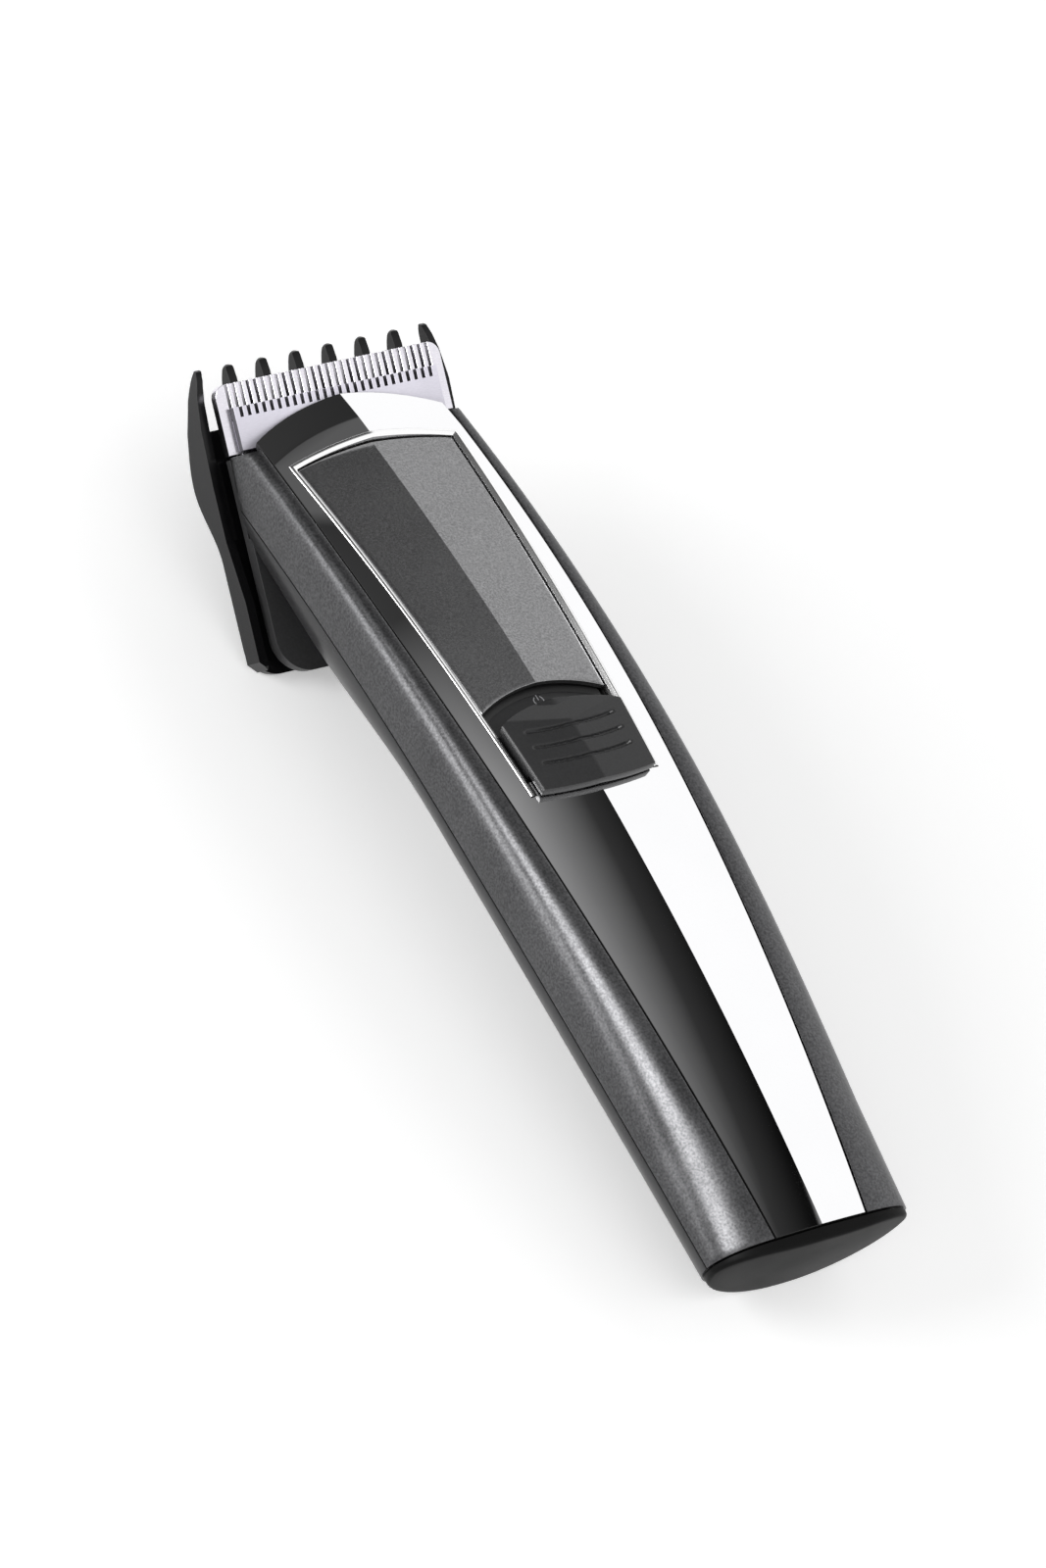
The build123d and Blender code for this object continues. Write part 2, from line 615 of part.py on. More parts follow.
# --- power and control ---
def make_cells():
    cells = []
    for x in (-CELL_X, CELL_X):
        cell = rod(CELL_RADIUS, CELL_START, CELL_START + CELL_LENGTH, x, CELL_Z)
        side = 1 if x < 0 else -1
        tip = CELL_START + CELL_LENGTH if side > 0 else CELL_START
        cell += rod(2.6, min(tip, tip + side * 0.9), max(tip, tip + side * 0.9), x, CELL_Z)
        cells.append(cell)
    return cells


def make_cell_links():
    far = CELL_START + CELL_LENGTH
    rear = box_at((-10.5, CELL_START - 1.15, CELL_Z - 2.0), (10.5, CELL_START - 0.92, CELL_Z + 2.0))
    left = box_at((-10.5, far + 0.92, CELL_Z - 2.0), (-4.5, far + 1.15, CELL_Z + 2.0))
    right = box_at((4.5, far + 0.92, CELL_Z - 2.0), (10.5, far + 1.15, CELL_Z + 2.0))
    return Compound([rear, left, right])


def make_board():
    low = BOARD_TOP - BOARD_THICKNESS
    board = box_at((-BOARD_HALF, BOARD_START, low), (BOARD_HALF, BOARD_END, BOARD_TOP))
    for x in (-BOARD_SCREW_X, BOARD_SCREW_X):
        board -= Pos(x, BOARD_START + 2.6, low) * Cylinder(1.05, 10)
    chip = box_at((-9.6, 76.0, BOARD_TOP + 0.05), (-4.6, 81.0, BOARD_TOP + 1.4))
    capacitor = rod(1.5, 75.0, 81.5, 8.0, BOARD_TOP + 1.56)
    return board, chip, capacitor


def make_slide_switch():
    low = BOARD_TOP
    housing = box_at((-2.2, 83.0, low), (2.2, 94.0, low + 2.6))
    housing -= box_at((-1.2, 84.8, low + 0.8), (1.2, 92.4, low + 4))
    lever = box_at((-0.9, 85.3, low + 1.0), (0.9, 88.3, 3.55))
    return housing, lever


def make_board_screws():
    screws = []
    for x in (-BOARD_SCREW_X, BOARD_SCREW_X):
        y = BOARD_START + 2.6
        head = Pos(x, y, BOARD_TOP + 0.55) * Cylinder(1.8, 1.0)
        shank = Pos(x, y, BOARD_TOP - 2.0) * Cylinder(0.95, 4.2)
        recess = Pos(x, y, BOARD_TOP + 1.0) * (Box(2.0, 0.45, 0.6) + Box(0.45, 2.0, 0.6))
        screws.append(head + shank - recess)
    return Compound(screws)


def make_motor_screws():
    screws = []
    end = MOTOR_START + MOTOR_LENGTH
    for x in (-MOTOR_SCREW_X, MOTOR_SCREW_X):
        head = rod(1.5, end + 2.02, end + 3.0, x)
        screws.append(head + rod(0.78, end - 1.5, end + 2.1, x))
    return Compound(screws)


def make_chassis():
    end = MOTOR_START + MOTOR_LENGTH
    room = body_solid(WALL + 0.7)
    frame = box_at((-16.2, 21.0, -8.4), (-14.8, end + 2.0, -2.4))
    frame += box_at((14.8, 21.0, -8.4), (16.2, end + 2.0, -2.4))
    for start, stop, top in ((21.0, 22.6, 1.0), (67.6, 69.2, 1.5), (end + 0.3, end + 2.0, 1.0)):
        frame += box_at((-16.2, start, -14.5), (16.2, stop, top))
    frame += box_at((-16.2, 96.3, -14.5), (16.2, 97.6, -1.2))
    for y in (34.0, 56.0):
        for side in (-1, 1):
            low_x, high_x = sorted((side * 9.5, side * 16.2))
            frame += box_at((low_x, y, -14.5), (high_x, y + 2.0, CELL_Z))
    for x in (-BOARD_SCREW_X, BOARD_SCREW_X):
        under_board = BOARD_TOP - BOARD_THICKNESS - 0.02
        frame += box_at((x - 2.2, 69.0, -8.4), (x + 2.2, BOARD_START + 5.0, under_board))
    frame &= room
    for x in (-CELL_X, CELL_X):
        frame -= rod(CELL_RADIUS + 0.1, CELL_START - 0.5, CELL_START + CELL_LENGTH + 0.5, x, CELL_Z)
    frame -= box_at((-12, MOTOR_START - 4, MOTOR_Z + 2.5), (12, MOTOR_START - 0.6, 10))
    frame -= rod(3.1, end - 1, end + 4)
    for x in (-LEAD_X, LEAD_X):
        frame -= rod(0.8, CELL_START + CELL_LENGTH - 1, BOARD_START + 5.5, x, CELL_Z)
    for x in (-MOTOR_SCREW_X, MOTOR_SCREW_X):
        frame -= rod(0.79, end - 2, end + 4, x)
    for x in (-BOARD_SCREW_X, BOARD_SCREW_X):
        frame -= Pos(x, BOARD_START + 2.6, 0) * Cylinder(0.96, 12)
    for x, y in CASE_SCREWS:
        frame -= Pos(x, y, 0) * Cylinder(3.7, 80)
    return frame


def make_motor_sleeve():
    start, stop = MOTOR_START + 6.0, MOTOR_START + 18.0
    length = stop - start
    sleeve = flat_can(MOTOR_RADIUS + 1.0, MOTOR_FLAT + 0.8, start, length)
    return sleeve - flat_can(MOTOR_RADIUS + 0.02, MOTOR_FLAT + 0.02, start - 1, length + 2)


def make_contacts():
    pins = []
    for x, y in CONTACTS:
        level = back_level(y)
        pins.append(Pos(x, y, level + 3.0) * Cylinder(1.45, 5.4))
    return Compound(pins)


def make_leads():
    """Battery leads to the board and motor leads from it, as short round wires."""
    battery = []
    motor = []
    far = CELL_START + CELL_LENGTH
    for side in (-1, 1):
        battery.append(rod(0.6, far + 1.16, BOARD_START + 8.0, side * LEAD_X, CELL_Z))
        motor.append(rod(0.6, BOARD_END - 8.0, MOTOR_START - 1.62, side * TERMINAL_X, MOTOR_Z + 4.1))
    return Compound(battery), Compound(motor)


def build_all():
    outer = body_solid(0)
    shell = outer - body_solid(WALL, overrun=1.0)
    nodes = {}
    nodes["front_panel"] = make_front_panel(shell)
    nodes["plate_bezel"] = make_bezel()
    nodes["face_plate"] = make_face_plate()
    nodes["switch_button"] = make_switch_button()
    nodes["left_side_shell"], nodes["right_side_shell"] = make_side_shells(shell)
    nodes["back_cover"] = make_back_cover(outer, shell)
    nodes["end_cap"] = make_end_cap()
    nodes["case_screws"] = make_case_screws()
    nodes["charge_contacts"] = make_contacts()
    nodes["fixed_blade"] = BLADE_PLACE * make_fixed_blade()
    nodes["moving_cutter"] = BLADE_PLACE * make_moving_cutter()
    nodes["blade_holder"] = BLADE_PLACE * make_blade_holder()
    nodes["blade_screws"] = BLADE_PLACE * make_blade_screws()
    nodes["blade_springs"] = BLADE_PLACE * make_blade_springs()
    nodes["guide_comb"] = BLADE_PLACE * make_guide_comb()
    can, magnets, bell, bushes, terminals = make_motor()
    nodes["motor_can"] = can
    nodes["motor_magnets"] = magnets
    nodes["motor_end_bell"] = bell
    nodes["motor_bushes"] = bushes
    nodes["motor_terminals"] = terminals
    nodes["motor_sleeve"] = make_motor_sleeve()
    nodes["motor_screws"] = make_motor_screws()
    shaft, core, commutator, cam = make_rotor()
    nodes["motor_shaft"] = shaft
    nodes["rotor_core"] = core
    nodes["commutator"] = commutator
    nodes["eccentric_cam"] = cam
    nodes["drive_yoke"] = make_drive_yoke()
    nodes["cell_left"], nodes["cell_right"] = make_cells()
    nodes["cell_links"] = make_cell_links()
    board, chip, capacitor = make_board()
    nodes["circuit_board"] = board
    nodes["charge_chip"] = chip
    nodes["board_capacitor"] = capacitor
    nodes["board_screws"] = make_board_screws()
    nodes["slide_switch_housing"], nodes["slide_switch_lever"] = make_slide_switch()
    nodes["chassis"] = make_chassis()
    nodes["battery_leads"], nodes["motor_leads"] = make_leads()
    return nodes


def lay_down(nodes):
    """Lay the clipper on its back with the origin under the middle of its bounding box."""
    tilted = {name: Rot(REST_TILT, 0, 0) * shape for name, shape in nodes.items()}
    boxes = [shape.bounding_box() for shape in tilted.values()]
    low_y = min(box.min.Y for box in boxes)
    high_y = max(box.max.Y for box in boxes)
    low_z = tilted["back_cover"].bounding_box().min.Z + HEEL_FLAT
    place = Pos(0, -(low_y + high_y) / 2, -low_z)
    print("resting shift", place.position, "tilt", REST_TILT)
    print("comb lowest", tilted["guide_comb"].bounding_box().min.Z - low_z)
    laid = {name: place * shape for name, shape in tilted.items()}
    below_floor = box_at((-BIG, -BIG, -BIG), (BIG, BIG, 0))
    for name in ("back_cover", "guide_comb", "end_cap"):
        laid[name] = laid[name] - below_floor
    return laid


for node_name, node_shape in lay_down(build_all()).items():
    export_step(node_shape, f"parts/{node_name}.step")
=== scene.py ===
import json
import math

import bmesh
import bpy
from mathutils import Matrix, Vector


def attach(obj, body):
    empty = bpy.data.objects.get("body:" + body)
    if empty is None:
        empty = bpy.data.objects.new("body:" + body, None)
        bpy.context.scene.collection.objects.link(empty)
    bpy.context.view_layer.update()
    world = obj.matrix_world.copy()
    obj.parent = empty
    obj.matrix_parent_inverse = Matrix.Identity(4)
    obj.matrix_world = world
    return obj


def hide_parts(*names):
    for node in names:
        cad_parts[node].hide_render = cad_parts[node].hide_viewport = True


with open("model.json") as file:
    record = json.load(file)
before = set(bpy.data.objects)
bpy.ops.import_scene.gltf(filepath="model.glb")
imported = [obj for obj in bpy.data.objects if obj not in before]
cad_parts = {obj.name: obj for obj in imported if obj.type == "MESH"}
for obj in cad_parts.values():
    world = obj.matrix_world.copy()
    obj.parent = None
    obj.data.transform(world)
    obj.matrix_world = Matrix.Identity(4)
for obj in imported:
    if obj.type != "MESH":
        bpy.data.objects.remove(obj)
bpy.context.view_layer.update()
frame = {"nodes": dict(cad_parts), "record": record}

MM = 0.001

# --- how the clipper lies: the design frame (X across, Y along, Z out of the front) to the row frame ---
TILT = math.radians(3.95)
SHIFT_Y = -85.9227
SHIFT_Z = 16.1218

# --- body ---
SEAM_GAP = 0.25
WALL = 1.3
END_TILT = math.radians(8.6)
END_Y, END_Z = 0.2, -9.0
DOME_RADIUS = 130.0
CAP_DEPTH = 2.6
CAP_GAP = 0.3
BLADE_TILT = math.radians(30.0)
BLADE_Y, BLADE_Z = 159.1, -1.5
SHELL_FRONT = -1.3
SEAT_LEVEL = -1.6
FOREHEAD_RADIUS = 35.3
FOREHEAD_Y = 163.0

# --- plate and switch ---
PLATE_BOTTOM_Y, PLATE_TOP_Y = 97.0, 150.6
PLATE_BOTTOM_HALF, PLATE_TOP_HALF = 11.5, 14.5
PLATE_TOP_RISE, PLATE_BOTTOM_RISE = 1.8, 3.0
PLATE_SHARE = 0.25      # share of the ridge's rise that the pocket and the slider keep
PLATE_FACET = 0.6       # and that the plate's own two facets keep
BEZEL_START = 80.5
BEZEL_INNER, BEZEL_OUTER = 0.2, 1.3
RIM_SLOT = 1.34
POCKET_BOTTOM = 83.0
PAD_LOW, PAD_HIGH = 80.1, 92.8
PAD_PROUD = 2.0
RAMP_START = 90.6
RAMP_SLOPE = math.tan(math.radians(21.0))
SLIDER_LOW, SLIDER_HIGH = 84.2, 98.6
SLIDER_SHRINK = 0.5
SHADE_BAND_LOW = 95.9

# --- screws and contacts in the back cover ---
SCREW_PLACES = ((-12.0, 12.0), (12.0, 12.0), (-9.5, 93.0), (9.5, 93.0))
SCREW_HOLE_RADIUS = 2.35
CONTACT_PLACES = ((-5.0, 16.0), (5.0, 16.0))
CONTACT_HOLE_RADIUS = 1.5
HOLE_LOW, HOLE_HIGH = -30.0, -8.0
HEEL_LIFT = 0.02


# ------------------------------------------------------------------ shape of the body
def smooth_step(value, low, high):
    t = min(max((value - low) / (high - low), 0.0), 1.0)
    return t * t * (3 - 2 * t)


def seam_half(y):
    return 8.4 + 9.4 * math.sin(math.pi / 2 * y / 150.0)


def seam_level(y):
    return 7.4 * (1 - ((y - 80.0) / 80.0) ** 2)


def ridge_rise(y):
    return 0.4 + 2.0 * max(y, 0.0) / 160.0


def body_half(y):
    return 18.4 + 3.0 * math.sin(math.pi / 2 * y / 125.0)


def parting_level(y):
    reach, drop = (85.0, 3.1) if y < 85.0 else (65.0, 5.4)
    return -2.1 - drop * ((y - 85.0) / reach) ** 2


def back_level(y):
    return -16.9 + 0.028 * y - 7.2 * smooth_step(y, 90.0, 130.0)


def shoulder_power(y):
    return 2.0 + 1.4 * min(max((y - 20.0) / 60.0, 0.0), 1.0)


def plate_half(y):
    slope = (PLATE_TOP_HALF - PLATE_BOTTOM_HALF) / (PLATE_TOP_Y - PLATE_BOTTOM_Y)
    return PLATE_BOTTOM_HALF + slope * (y - PLATE_BOTTOM_Y)


def roof(x, y, sunk=0.0, share=1.0):
    return seam_level(y) - sunk + share * ridge_rise(y) * (1 - abs(x) / seam_half(y))


def body_point(kind, t, y, inset=0.0):
    """A point (x, z) of the right half of the section at y; kind is facet, shoulder or bottom."""
    seam_x, seam_z = seam_half(y), seam_level(y) - inset
    half, parting_z, back_z = body_half(y) - inset, parting_level(y), back_level(y) + inset
    if kind == "facet":
        return seam_x * t, seam_z + ridge_rise(y) * (1 - t)
    angle = t * math.pi / 2
    if kind == "shoulder":
        power = 2.0 / shoulder_power(y)
        across = seam_x + (half - seam_x) * abs(math.sin(angle)) ** power
        return across, parting_z + (seam_z - parting_z) * abs(math.cos(angle)) ** power
    return half * math.cos(angle), parting_z + (back_z - parting_z) * math.sin(angle)


def end_coordinates(y, z):
    dy, dz = y - END_Y, z - END_Z
    along = dy * math.cos(END_TILT) + dz * math.sin(END_TILT)
    return along, dz * math.cos(END_TILT) - dy * math.sin(END_TILT)


def at_end(kind, t, depth, inset=0.0):
    """The point of the section's line that lies depth inside the end plane."""
    y = 0.0
    for _ in range(8):
        x, z = body_point(kind, t, y, inset)
        y = END_Y + (depth - (z - END_Z) * math.sin(END_TILT)) / math.cos(END_TILT)
    return x, y, z


def blade_coordinates(y, z):
    dy, dz = y - BLADE_Y, z - BLADE_Z
    along = dy * math.cos(BLADE_TILT) + dz * math.sin(BLADE_TILT)
    return along, dz * math.cos(BLADE_TILT) - dy * math.sin(BLADE_TILT)


def front_limit(kind, t, plane_too):
    """How far up the section's line runs before the blade's seat, or the shells' front plane."""
    low, high = 100.0, 175.0
    for _ in range(30):
        y = (low + high) / 2
        along, out = blade_coordinates(y, body_point(kind, t, y)[1])
        beyond = out < SEAT_LEVEL or (plane_too and along > SHELL_FRONT)
        low, high = (low, y) if beyond else (y, high)
    return low


def place(x, y, z):
    """From the design frame in millimetres to the row frame in metres."""
    return Vector((
        x * MM,
        (y * math.cos(TILT) - z * math.sin(TILT) + SHIFT_Y) * MM,
        (y * math.sin(TILT) + z * math.cos(TILT) + SHIFT_Z) * MM,
    ))


def place_blade(x, u, n):
    y = BLADE_Y + u * math.cos(BLADE_TILT) - n * math.sin(BLADE_TILT)
    return place(x, y, BLADE_Z + u * math.sin(BLADE_TILT) + n * math.cos(BLADE_TILT))


# ------------------------------------------------------------------ materials
def new_material(name):
    material = bpy.data.materials.new(name)
    material.use_nodes = True
    nodes = material.node_tree.nodes
    return material, nodes, material.node_tree.links, nodes["Principled BSDF"]


def map_range(nodes, links, source, from_range, to_range):
    node = nodes.new("ShaderNodeMapRange")
    node.inputs["From Min"].default_value, node.inputs["From Max"].default_value = from_range
    node.inputs["To Min"].default_value, node.inputs["To Max"].default_value = to_range
    links.new(source, node.inputs["Value"])
    return node.outputs["Result"]


def multiply(nodes, links, first, second):
    node = nodes.new("ShaderNodeMath")
    node.operation = "MULTIPLY"
    links.new(first, node.inputs[0])
    links.new(second, node.inputs[1])
    return node.outputs[0]


def noise(nodes, links, scale, detail=2.0, stretch=(1, 1, 1)):
    place_node = nodes.new("ShaderNodeTexCoord")
    mapping = nodes.new("ShaderNodeMapping")
    mapping.inputs["Scale"].default_value = stretch
    links.new(place_node.outputs["Object"], mapping.inputs["Vector"])
    texture = nodes.new("ShaderNodeTexNoise")
    texture.inputs["Scale"].default_value = scale
    texture.inputs["Detail"].default_value = detail
    texture.inputs["Roughness"].default_value = 0.5
    links.new(mapping.outputs["Vector"], texture.inputs["Vector"])
    return texture.outputs["Fac"]


def along_blade(nodes, links, from_range, to_range):
    """A value that changes with the distance along the blade's teeth, in metres from the blade's origin."""
    coordinates = nodes.new("ShaderNodeTexCoord")
    along = nodes.new("ShaderNodeVectorMath")
    along.operation = "DOT_PRODUCT"
    direction = (place_blade(0, 1, 0) - place_blade(0, 0, 0)).normalized()
    along.inputs[1].default_value = direction
    links.new(coordinates.outputs["Object"], along.inputs[0])
    start = place_blade(0, 0, 0).dot(direction)
    return map_range(nodes, links, along.outputs["Value"],
                     (start + from_range[0] * MM, start + from_range[1] * MM), to_range)


def paint_side_shade(nodes, links, colour_out):
    """Painted shade between the teeth: the faces that look sideways are nearly black at the root."""
    coordinates = nodes.new("ShaderNodeTexCoord")
    split = nodes.new("ShaderNodeSeparateXYZ")
    links.new(coordinates.outputs["Normal"], split.inputs[0])
    size = nodes.new("ShaderNodeMath")
    size.operation = "ABSOLUTE"
    links.new(split.outputs["X"], size.inputs[0])
    sideways = map_range(nodes, links, size.outputs[0], (0.75, 0.95), (0.0, 1.0))
    depth = along_blade(nodes, links, (6.2, 9.4), (0.9, 0.25))
    loss = multiply(nodes, links, sideways, depth)
    share = map_range(nodes, links, loss, (0.0, 1.0), (1.0, 0.0))
    dark = nodes.new("ShaderNodeVectorMath")
    dark.operation = "SCALE"
    links.new(colour_out, dark.inputs[0])
    links.new(share, dark.inputs["Scale"])
    return dark.outputs["Vector"]


def finish_material(name, colour, metallic=0.0, roughness=0.4, spread=0.05, speck=0.1, speck_scale=2500.0,
                    stretch=(1, 1, 1), wear=0.08, wear_scale=60.0, bump=0.1, bump_depth=0.00002,
                    coat=0.0, coat_roughness=0.05, specular=0.5, painted_side_shade=False):
    """A moulded, painted or ground surface: fine specks, slow wear, a varying gloss and a fine bump."""
    material, nodes, links, shader = new_material(name)
    shader.inputs["Metallic"].default_value = metallic
    shader.inputs["Specular IOR Level"].default_value = specular
    shader.inputs["Coat Weight"].default_value = coat
    shader.inputs["Coat Roughness"].default_value = coat_roughness
    fine = noise(nodes, links, speck_scale, 2.0, stretch)
    slow = noise(nodes, links, wear_scale, 4.0)
    fine_gain = map_range(nodes, links, fine, (0.3, 0.7), (1 - speck, 1 + speck))
    slow_gain = map_range(nodes, links, slow, (0.3, 0.7), (1 - wear, 1 + wear))
    gain = multiply(nodes, links, fine_gain, slow_gain)
    tint = nodes.new("ShaderNodeVectorMath")
    tint.operation = "SCALE"
    tint.inputs[0].default_value = colour
    links.new(gain, tint.inputs["Scale"])
    colour_out = tint.outputs["Vector"]
    # painted shade on the sideways faces of the teeth, darkest towards the root
    if painted_side_shade:
        colour_out = paint_side_shade(nodes, links, colour_out)
    links.new(colour_out, shader.inputs["Base Color"])
    gloss = map_range(nodes, links, slow, (0.3, 0.7), (max(roughness - spread, 0.0), roughness + spread))
    links.new(gloss, shader.inputs["Roughness"])
    relief = nodes.new("ShaderNodeBump")
    relief.inputs["Strength"].default_value = bump
    relief.inputs["Distance"].default_value = bump_depth
    links.new(fine, relief.inputs["Height"])
    links.new(relief.outputs["Normal"], shader.inputs["Normal"])
    return material


LOOKS = {
    "mirror_chrome": dict(colour=(0.93, 0.93, 0.94), metallic=1.0, roughness=0.02, spread=0.01, speck=0.004,
                          wear=0.01, bump=0.01, bump_depth=0.000002),
    "bezel_chrome": dict(colour=(0.95, 0.95, 0.95), metallic=1.0, roughness=0.22, spread=0.02, speck=0.01,
                         wear=0.02, bump=0.02, bump_depth=0.000004),
    "plate_gunmetal": dict(colour=(0.28, 0.28, 0.285), metallic=1.0, roughness=0.27, spread=0.008, speck=0.25,
                           wear=0.03, speck_scale=3000.0, bump=0.12, bump_depth=0.00001),
    "shell_graphite": dict(colour=(0.085, 0.085, 0.088), metallic=0.9, roughness=0.35, speck=0.35,
                           speck_scale=2600.0, bump=0.4, bump_depth=0.00002),
    "cover_black": dict(colour=(0.026, 0.026, 0.027), roughness=0.3, speck=0.1, bump=0.04, specular=0.25),
    "cap_grey": dict(colour=(0.007, 0.007, 0.007), roughness=0.42, speck=0.12, bump=0.12, specular=0.06),
    "switch_grey": dict(colour=(0.026, 0.026, 0.027), roughness=0.34, speck=0.12, bump=0.12, specular=0.35),
    "comb_black": dict(colour=(0.004, 0.004, 0.0045), roughness=0.2, speck=0.08, bump=0.03, specular=0.25),
    # both blades get painted shade on the sideways faces of their teeth
    "blade_steel": dict(colour=(0.8, 0.78, 0.84), metallic=1.0, roughness=0.24, speck=0.06, painted_side_shade=True,
                        speck_scale=1400.0, stretch=(1, 10, 10), bump=0.12, bump_depth=0.00001),
    "cutter_steel": dict(colour=(0.72, 0.70, 0.78), metallic=0.5, roughness=0.5, speck=0.05, painted_side_shade=True,
                         speck_scale=1400.0, stretch=(1, 10, 10), bump=0.12, bump_depth=0.00001),
    "holder_black": dict(colour=(0.035, 0.035, 0.036), roughness=0.4, speck=0.12, bump=0.15, specular=0.3),
    "screw_steel": dict(colour=(0.5, 0.5, 0.52), metallic=1.0, roughness=0.32, speck=0.08),
    "spring_steel": dict(colour=(0.55, 0.55, 0.57), metallic=1.0, roughness=0.25, speck=0.05),
    "contact_brass": dict(colour=(0.8, 0.6, 0.28), metallic=1.0, roughness=0.22, speck=0.05),
    "chassis_black": dict(colour=(0.04, 0.04, 0.04), roughness=0.55, speck=0.1),
    "cell_sleeve": dict(colour=(0.02, 0.16, 0.06), roughness=0.35, speck=0.06, coat=0.3),
    "nickel": dict(colour=(0.66, 0.64, 0.6), metallic=1.0, roughness=0.3, speck=0.06),
    "board_green": dict(colour=(0.015, 0.12, 0.045), roughness=0.4, speck=0.15, speck_scale=900.0, coat=0.2),
    "chip_black": dict(colour=(0.02, 0.02, 0.022), roughness=0.5, speck=0.1),
    "capacitor_can": dict(colour=(0.55, 0.55, 0.57), metallic=1.0, roughness=0.3, speck=0.05),
    "motor_steel": dict(colour=(0.6, 0.6, 0.61), metallic=1.0, roughness=0.35, speck=0.06),
    "magnet": dict(colour=(0.07, 0.07, 0.075), metallic=0.5, roughness=0.55, speck=0.12),
    "bell_white": dict(colour=(0.7, 0.69, 0.64), roughness=0.45, speck=0.04),
    "bush_brass": dict(colour=(0.7, 0.5, 0.22), metallic=1.0, roughness=0.3, speck=0.06),
    "sleeve_rubber": dict(colour=(0.025, 0.025, 0.025), roughness=0.7, speck=0.1),
    "lead_red": dict(colour=(0.42, 0.02, 0.02), roughness=0.45, speck=0.05),
    "lead_black": dict(colour=(0.02, 0.02, 0.02), roughness=0.45, speck=0.05),
}
MATERIALS = {slot: finish_material(slot, **look) for slot, look in LOOKS.items()}
SLOTS = {part["node"]: part["material_slot"] for part in frame["record"]["subparts"]}
mark_paint = finish_material("mark_paint", (0.42, 0.42, 0.44), roughness=0.5, speck=0.04)
# near-black painted shade for the pocket under the plate, the panel's inner face, rim and rounded edges, and
# the band under the plate's lower edge
painted_shade_black = finish_material("painted_shade_black", (0.006, 0.006, 0.006), roughness=0.6, speck=0.1)


# ------------------------------------------------------------------ mesh tools
def grid_faces(rows, columns, start=0, close_rows=False):
    faces = []
    for i in range(rows if close_rows else rows - 1):
        for j in range(columns - 1):
            a = start + i * columns + j
            d = start + ((i + 1) % rows) * columns + j
            faces.append((a, a + 1, d + 1, d))
    return faces


def slab(top, under):
    """Vertices and faces of a closed sheet between two grids of points of the same size."""
    rows, columns = len(top), len(top[0])
    points = [p for row in top for p in row] + [p for row in under for p in row]
    count = rows * columns
    faces = grid_faces(rows, columns)
    faces += [tuple(reversed(face)) for face in grid_faces(rows, columns, count)]
    rim = [j for j in range(columns)]
    rim += [i * columns + columns - 1 for i in range(1, rows)]
    rim += [(rows - 1) * columns + j for j in range(columns - 2, -1, -1)]
    rim += [i * columns for i in range(rows - 2, 0, -1)]
    for a, b in zip(rim, rim[1:] + rim[:1]):
        faces.append((b, a, a + count, b + count))
    return points, faces


def merged(parts):
    points, faces = [], []
    for more_points, more_faces in parts:
        start = len(points)
        points += more_points
        faces += [tuple(index + start for index in face) for face in more_faces]
    return points, faces


CRISP_ANGLE = 32.0      # corners of pieces without a bevel are shaded sharp above this angle
BEVEL_ANGLE = 35.0
COPY_ANGLE = 30.0


def finish_mesh(mesh, outward=None, crease_middle=False, crisp=False):
    """Weld, turn the faces outward, shade smooth, and keep the middle line or the corners sharp if asked."""
    shape = bmesh.new()
    shape.from_mesh(mesh)
    bmesh.ops.remove_doubles(shape, verts=shape.verts, dist=1e-6)
    bmesh.ops.recalc_face_normals(shape, faces=shape.faces)
    if outward is not None:
        total = Vector()
        for face in shape.faces:
            total += face.normal * face.calc_area()
        if total.dot(Vector(outward)) < 0:
            bmesh.ops.reverse_faces(shape, faces=shape.faces)
    for face in shape.faces:
        face.smooth = True
    if crease_middle:
        for edge in shape.edges:
            if all(abs(vertex.co.x) < 1e-7 for vertex in edge.verts):
                edge.smooth = False
    if crisp:
        for edge in shape.edges:
            if len(edge.link_faces) == 2 and edge.calc_face_angle() > math.radians(CRISP_ANGLE):
                edge.smooth = False
    shape.to_mesh(mesh)
    shape.free()


def soften_edges(obj, width, angle=BEVEL_ANGLE, material=-1):
    """A small round on the corners; a material of their own keeps the faces beside them flat."""
    bevel = obj.modifiers.new("round_edges", "BEVEL")
    bevel.width = width * MM
    bevel.segments = 2
    bevel.limit_method = "ANGLE"
    bevel.angle_limit = math.radians(angle)
    bevel.use_clamp_overlap = True
    bevel.material = material
    bevel.harden_normals = material >= 0
    if material < 0:
        even = obj.modifiers.new("even_shading", "WEIGHTED_NORMAL")
        even.keep_sharp = True


def add_piece(name, shape, body, slot, outward=None, thickness=0.0, edge=0.0, crease=False,
              nodes=(), material=None, rim_material=None):
    """A finished piece: shape is (points, faces) in metres; thickness turns an open sheet into a wall."""
    points, faces = shape
    mesh = bpy.data.meshes.new(name)
    mesh.from_pydata([tuple(p) for p in points], [], faces)
    finish_mesh(mesh, outward, crease, crisp=not edge)
    obj = bpy.data.objects.new(name, mesh)
    bpy.context.scene.collection.objects.link(obj)
    mesh.materials.append(material or MATERIALS[slot])
    if thickness:
        wall = obj.modifiers.new("wall", "SOLIDIFY")
        wall.thickness = thickness * MM
        wall.offset = -1.0
        wall.use_even_offset = True
        if rim_material:
            mesh.materials.append(rim_material)
            wall.material_offset = 1
            wall.material_offset_rim = 1
    if edge:
        soften_edges(obj, edge, material=1 if rim_material else -1)
    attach(obj, body)
    if nodes:
        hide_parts(*nodes)
    return obj


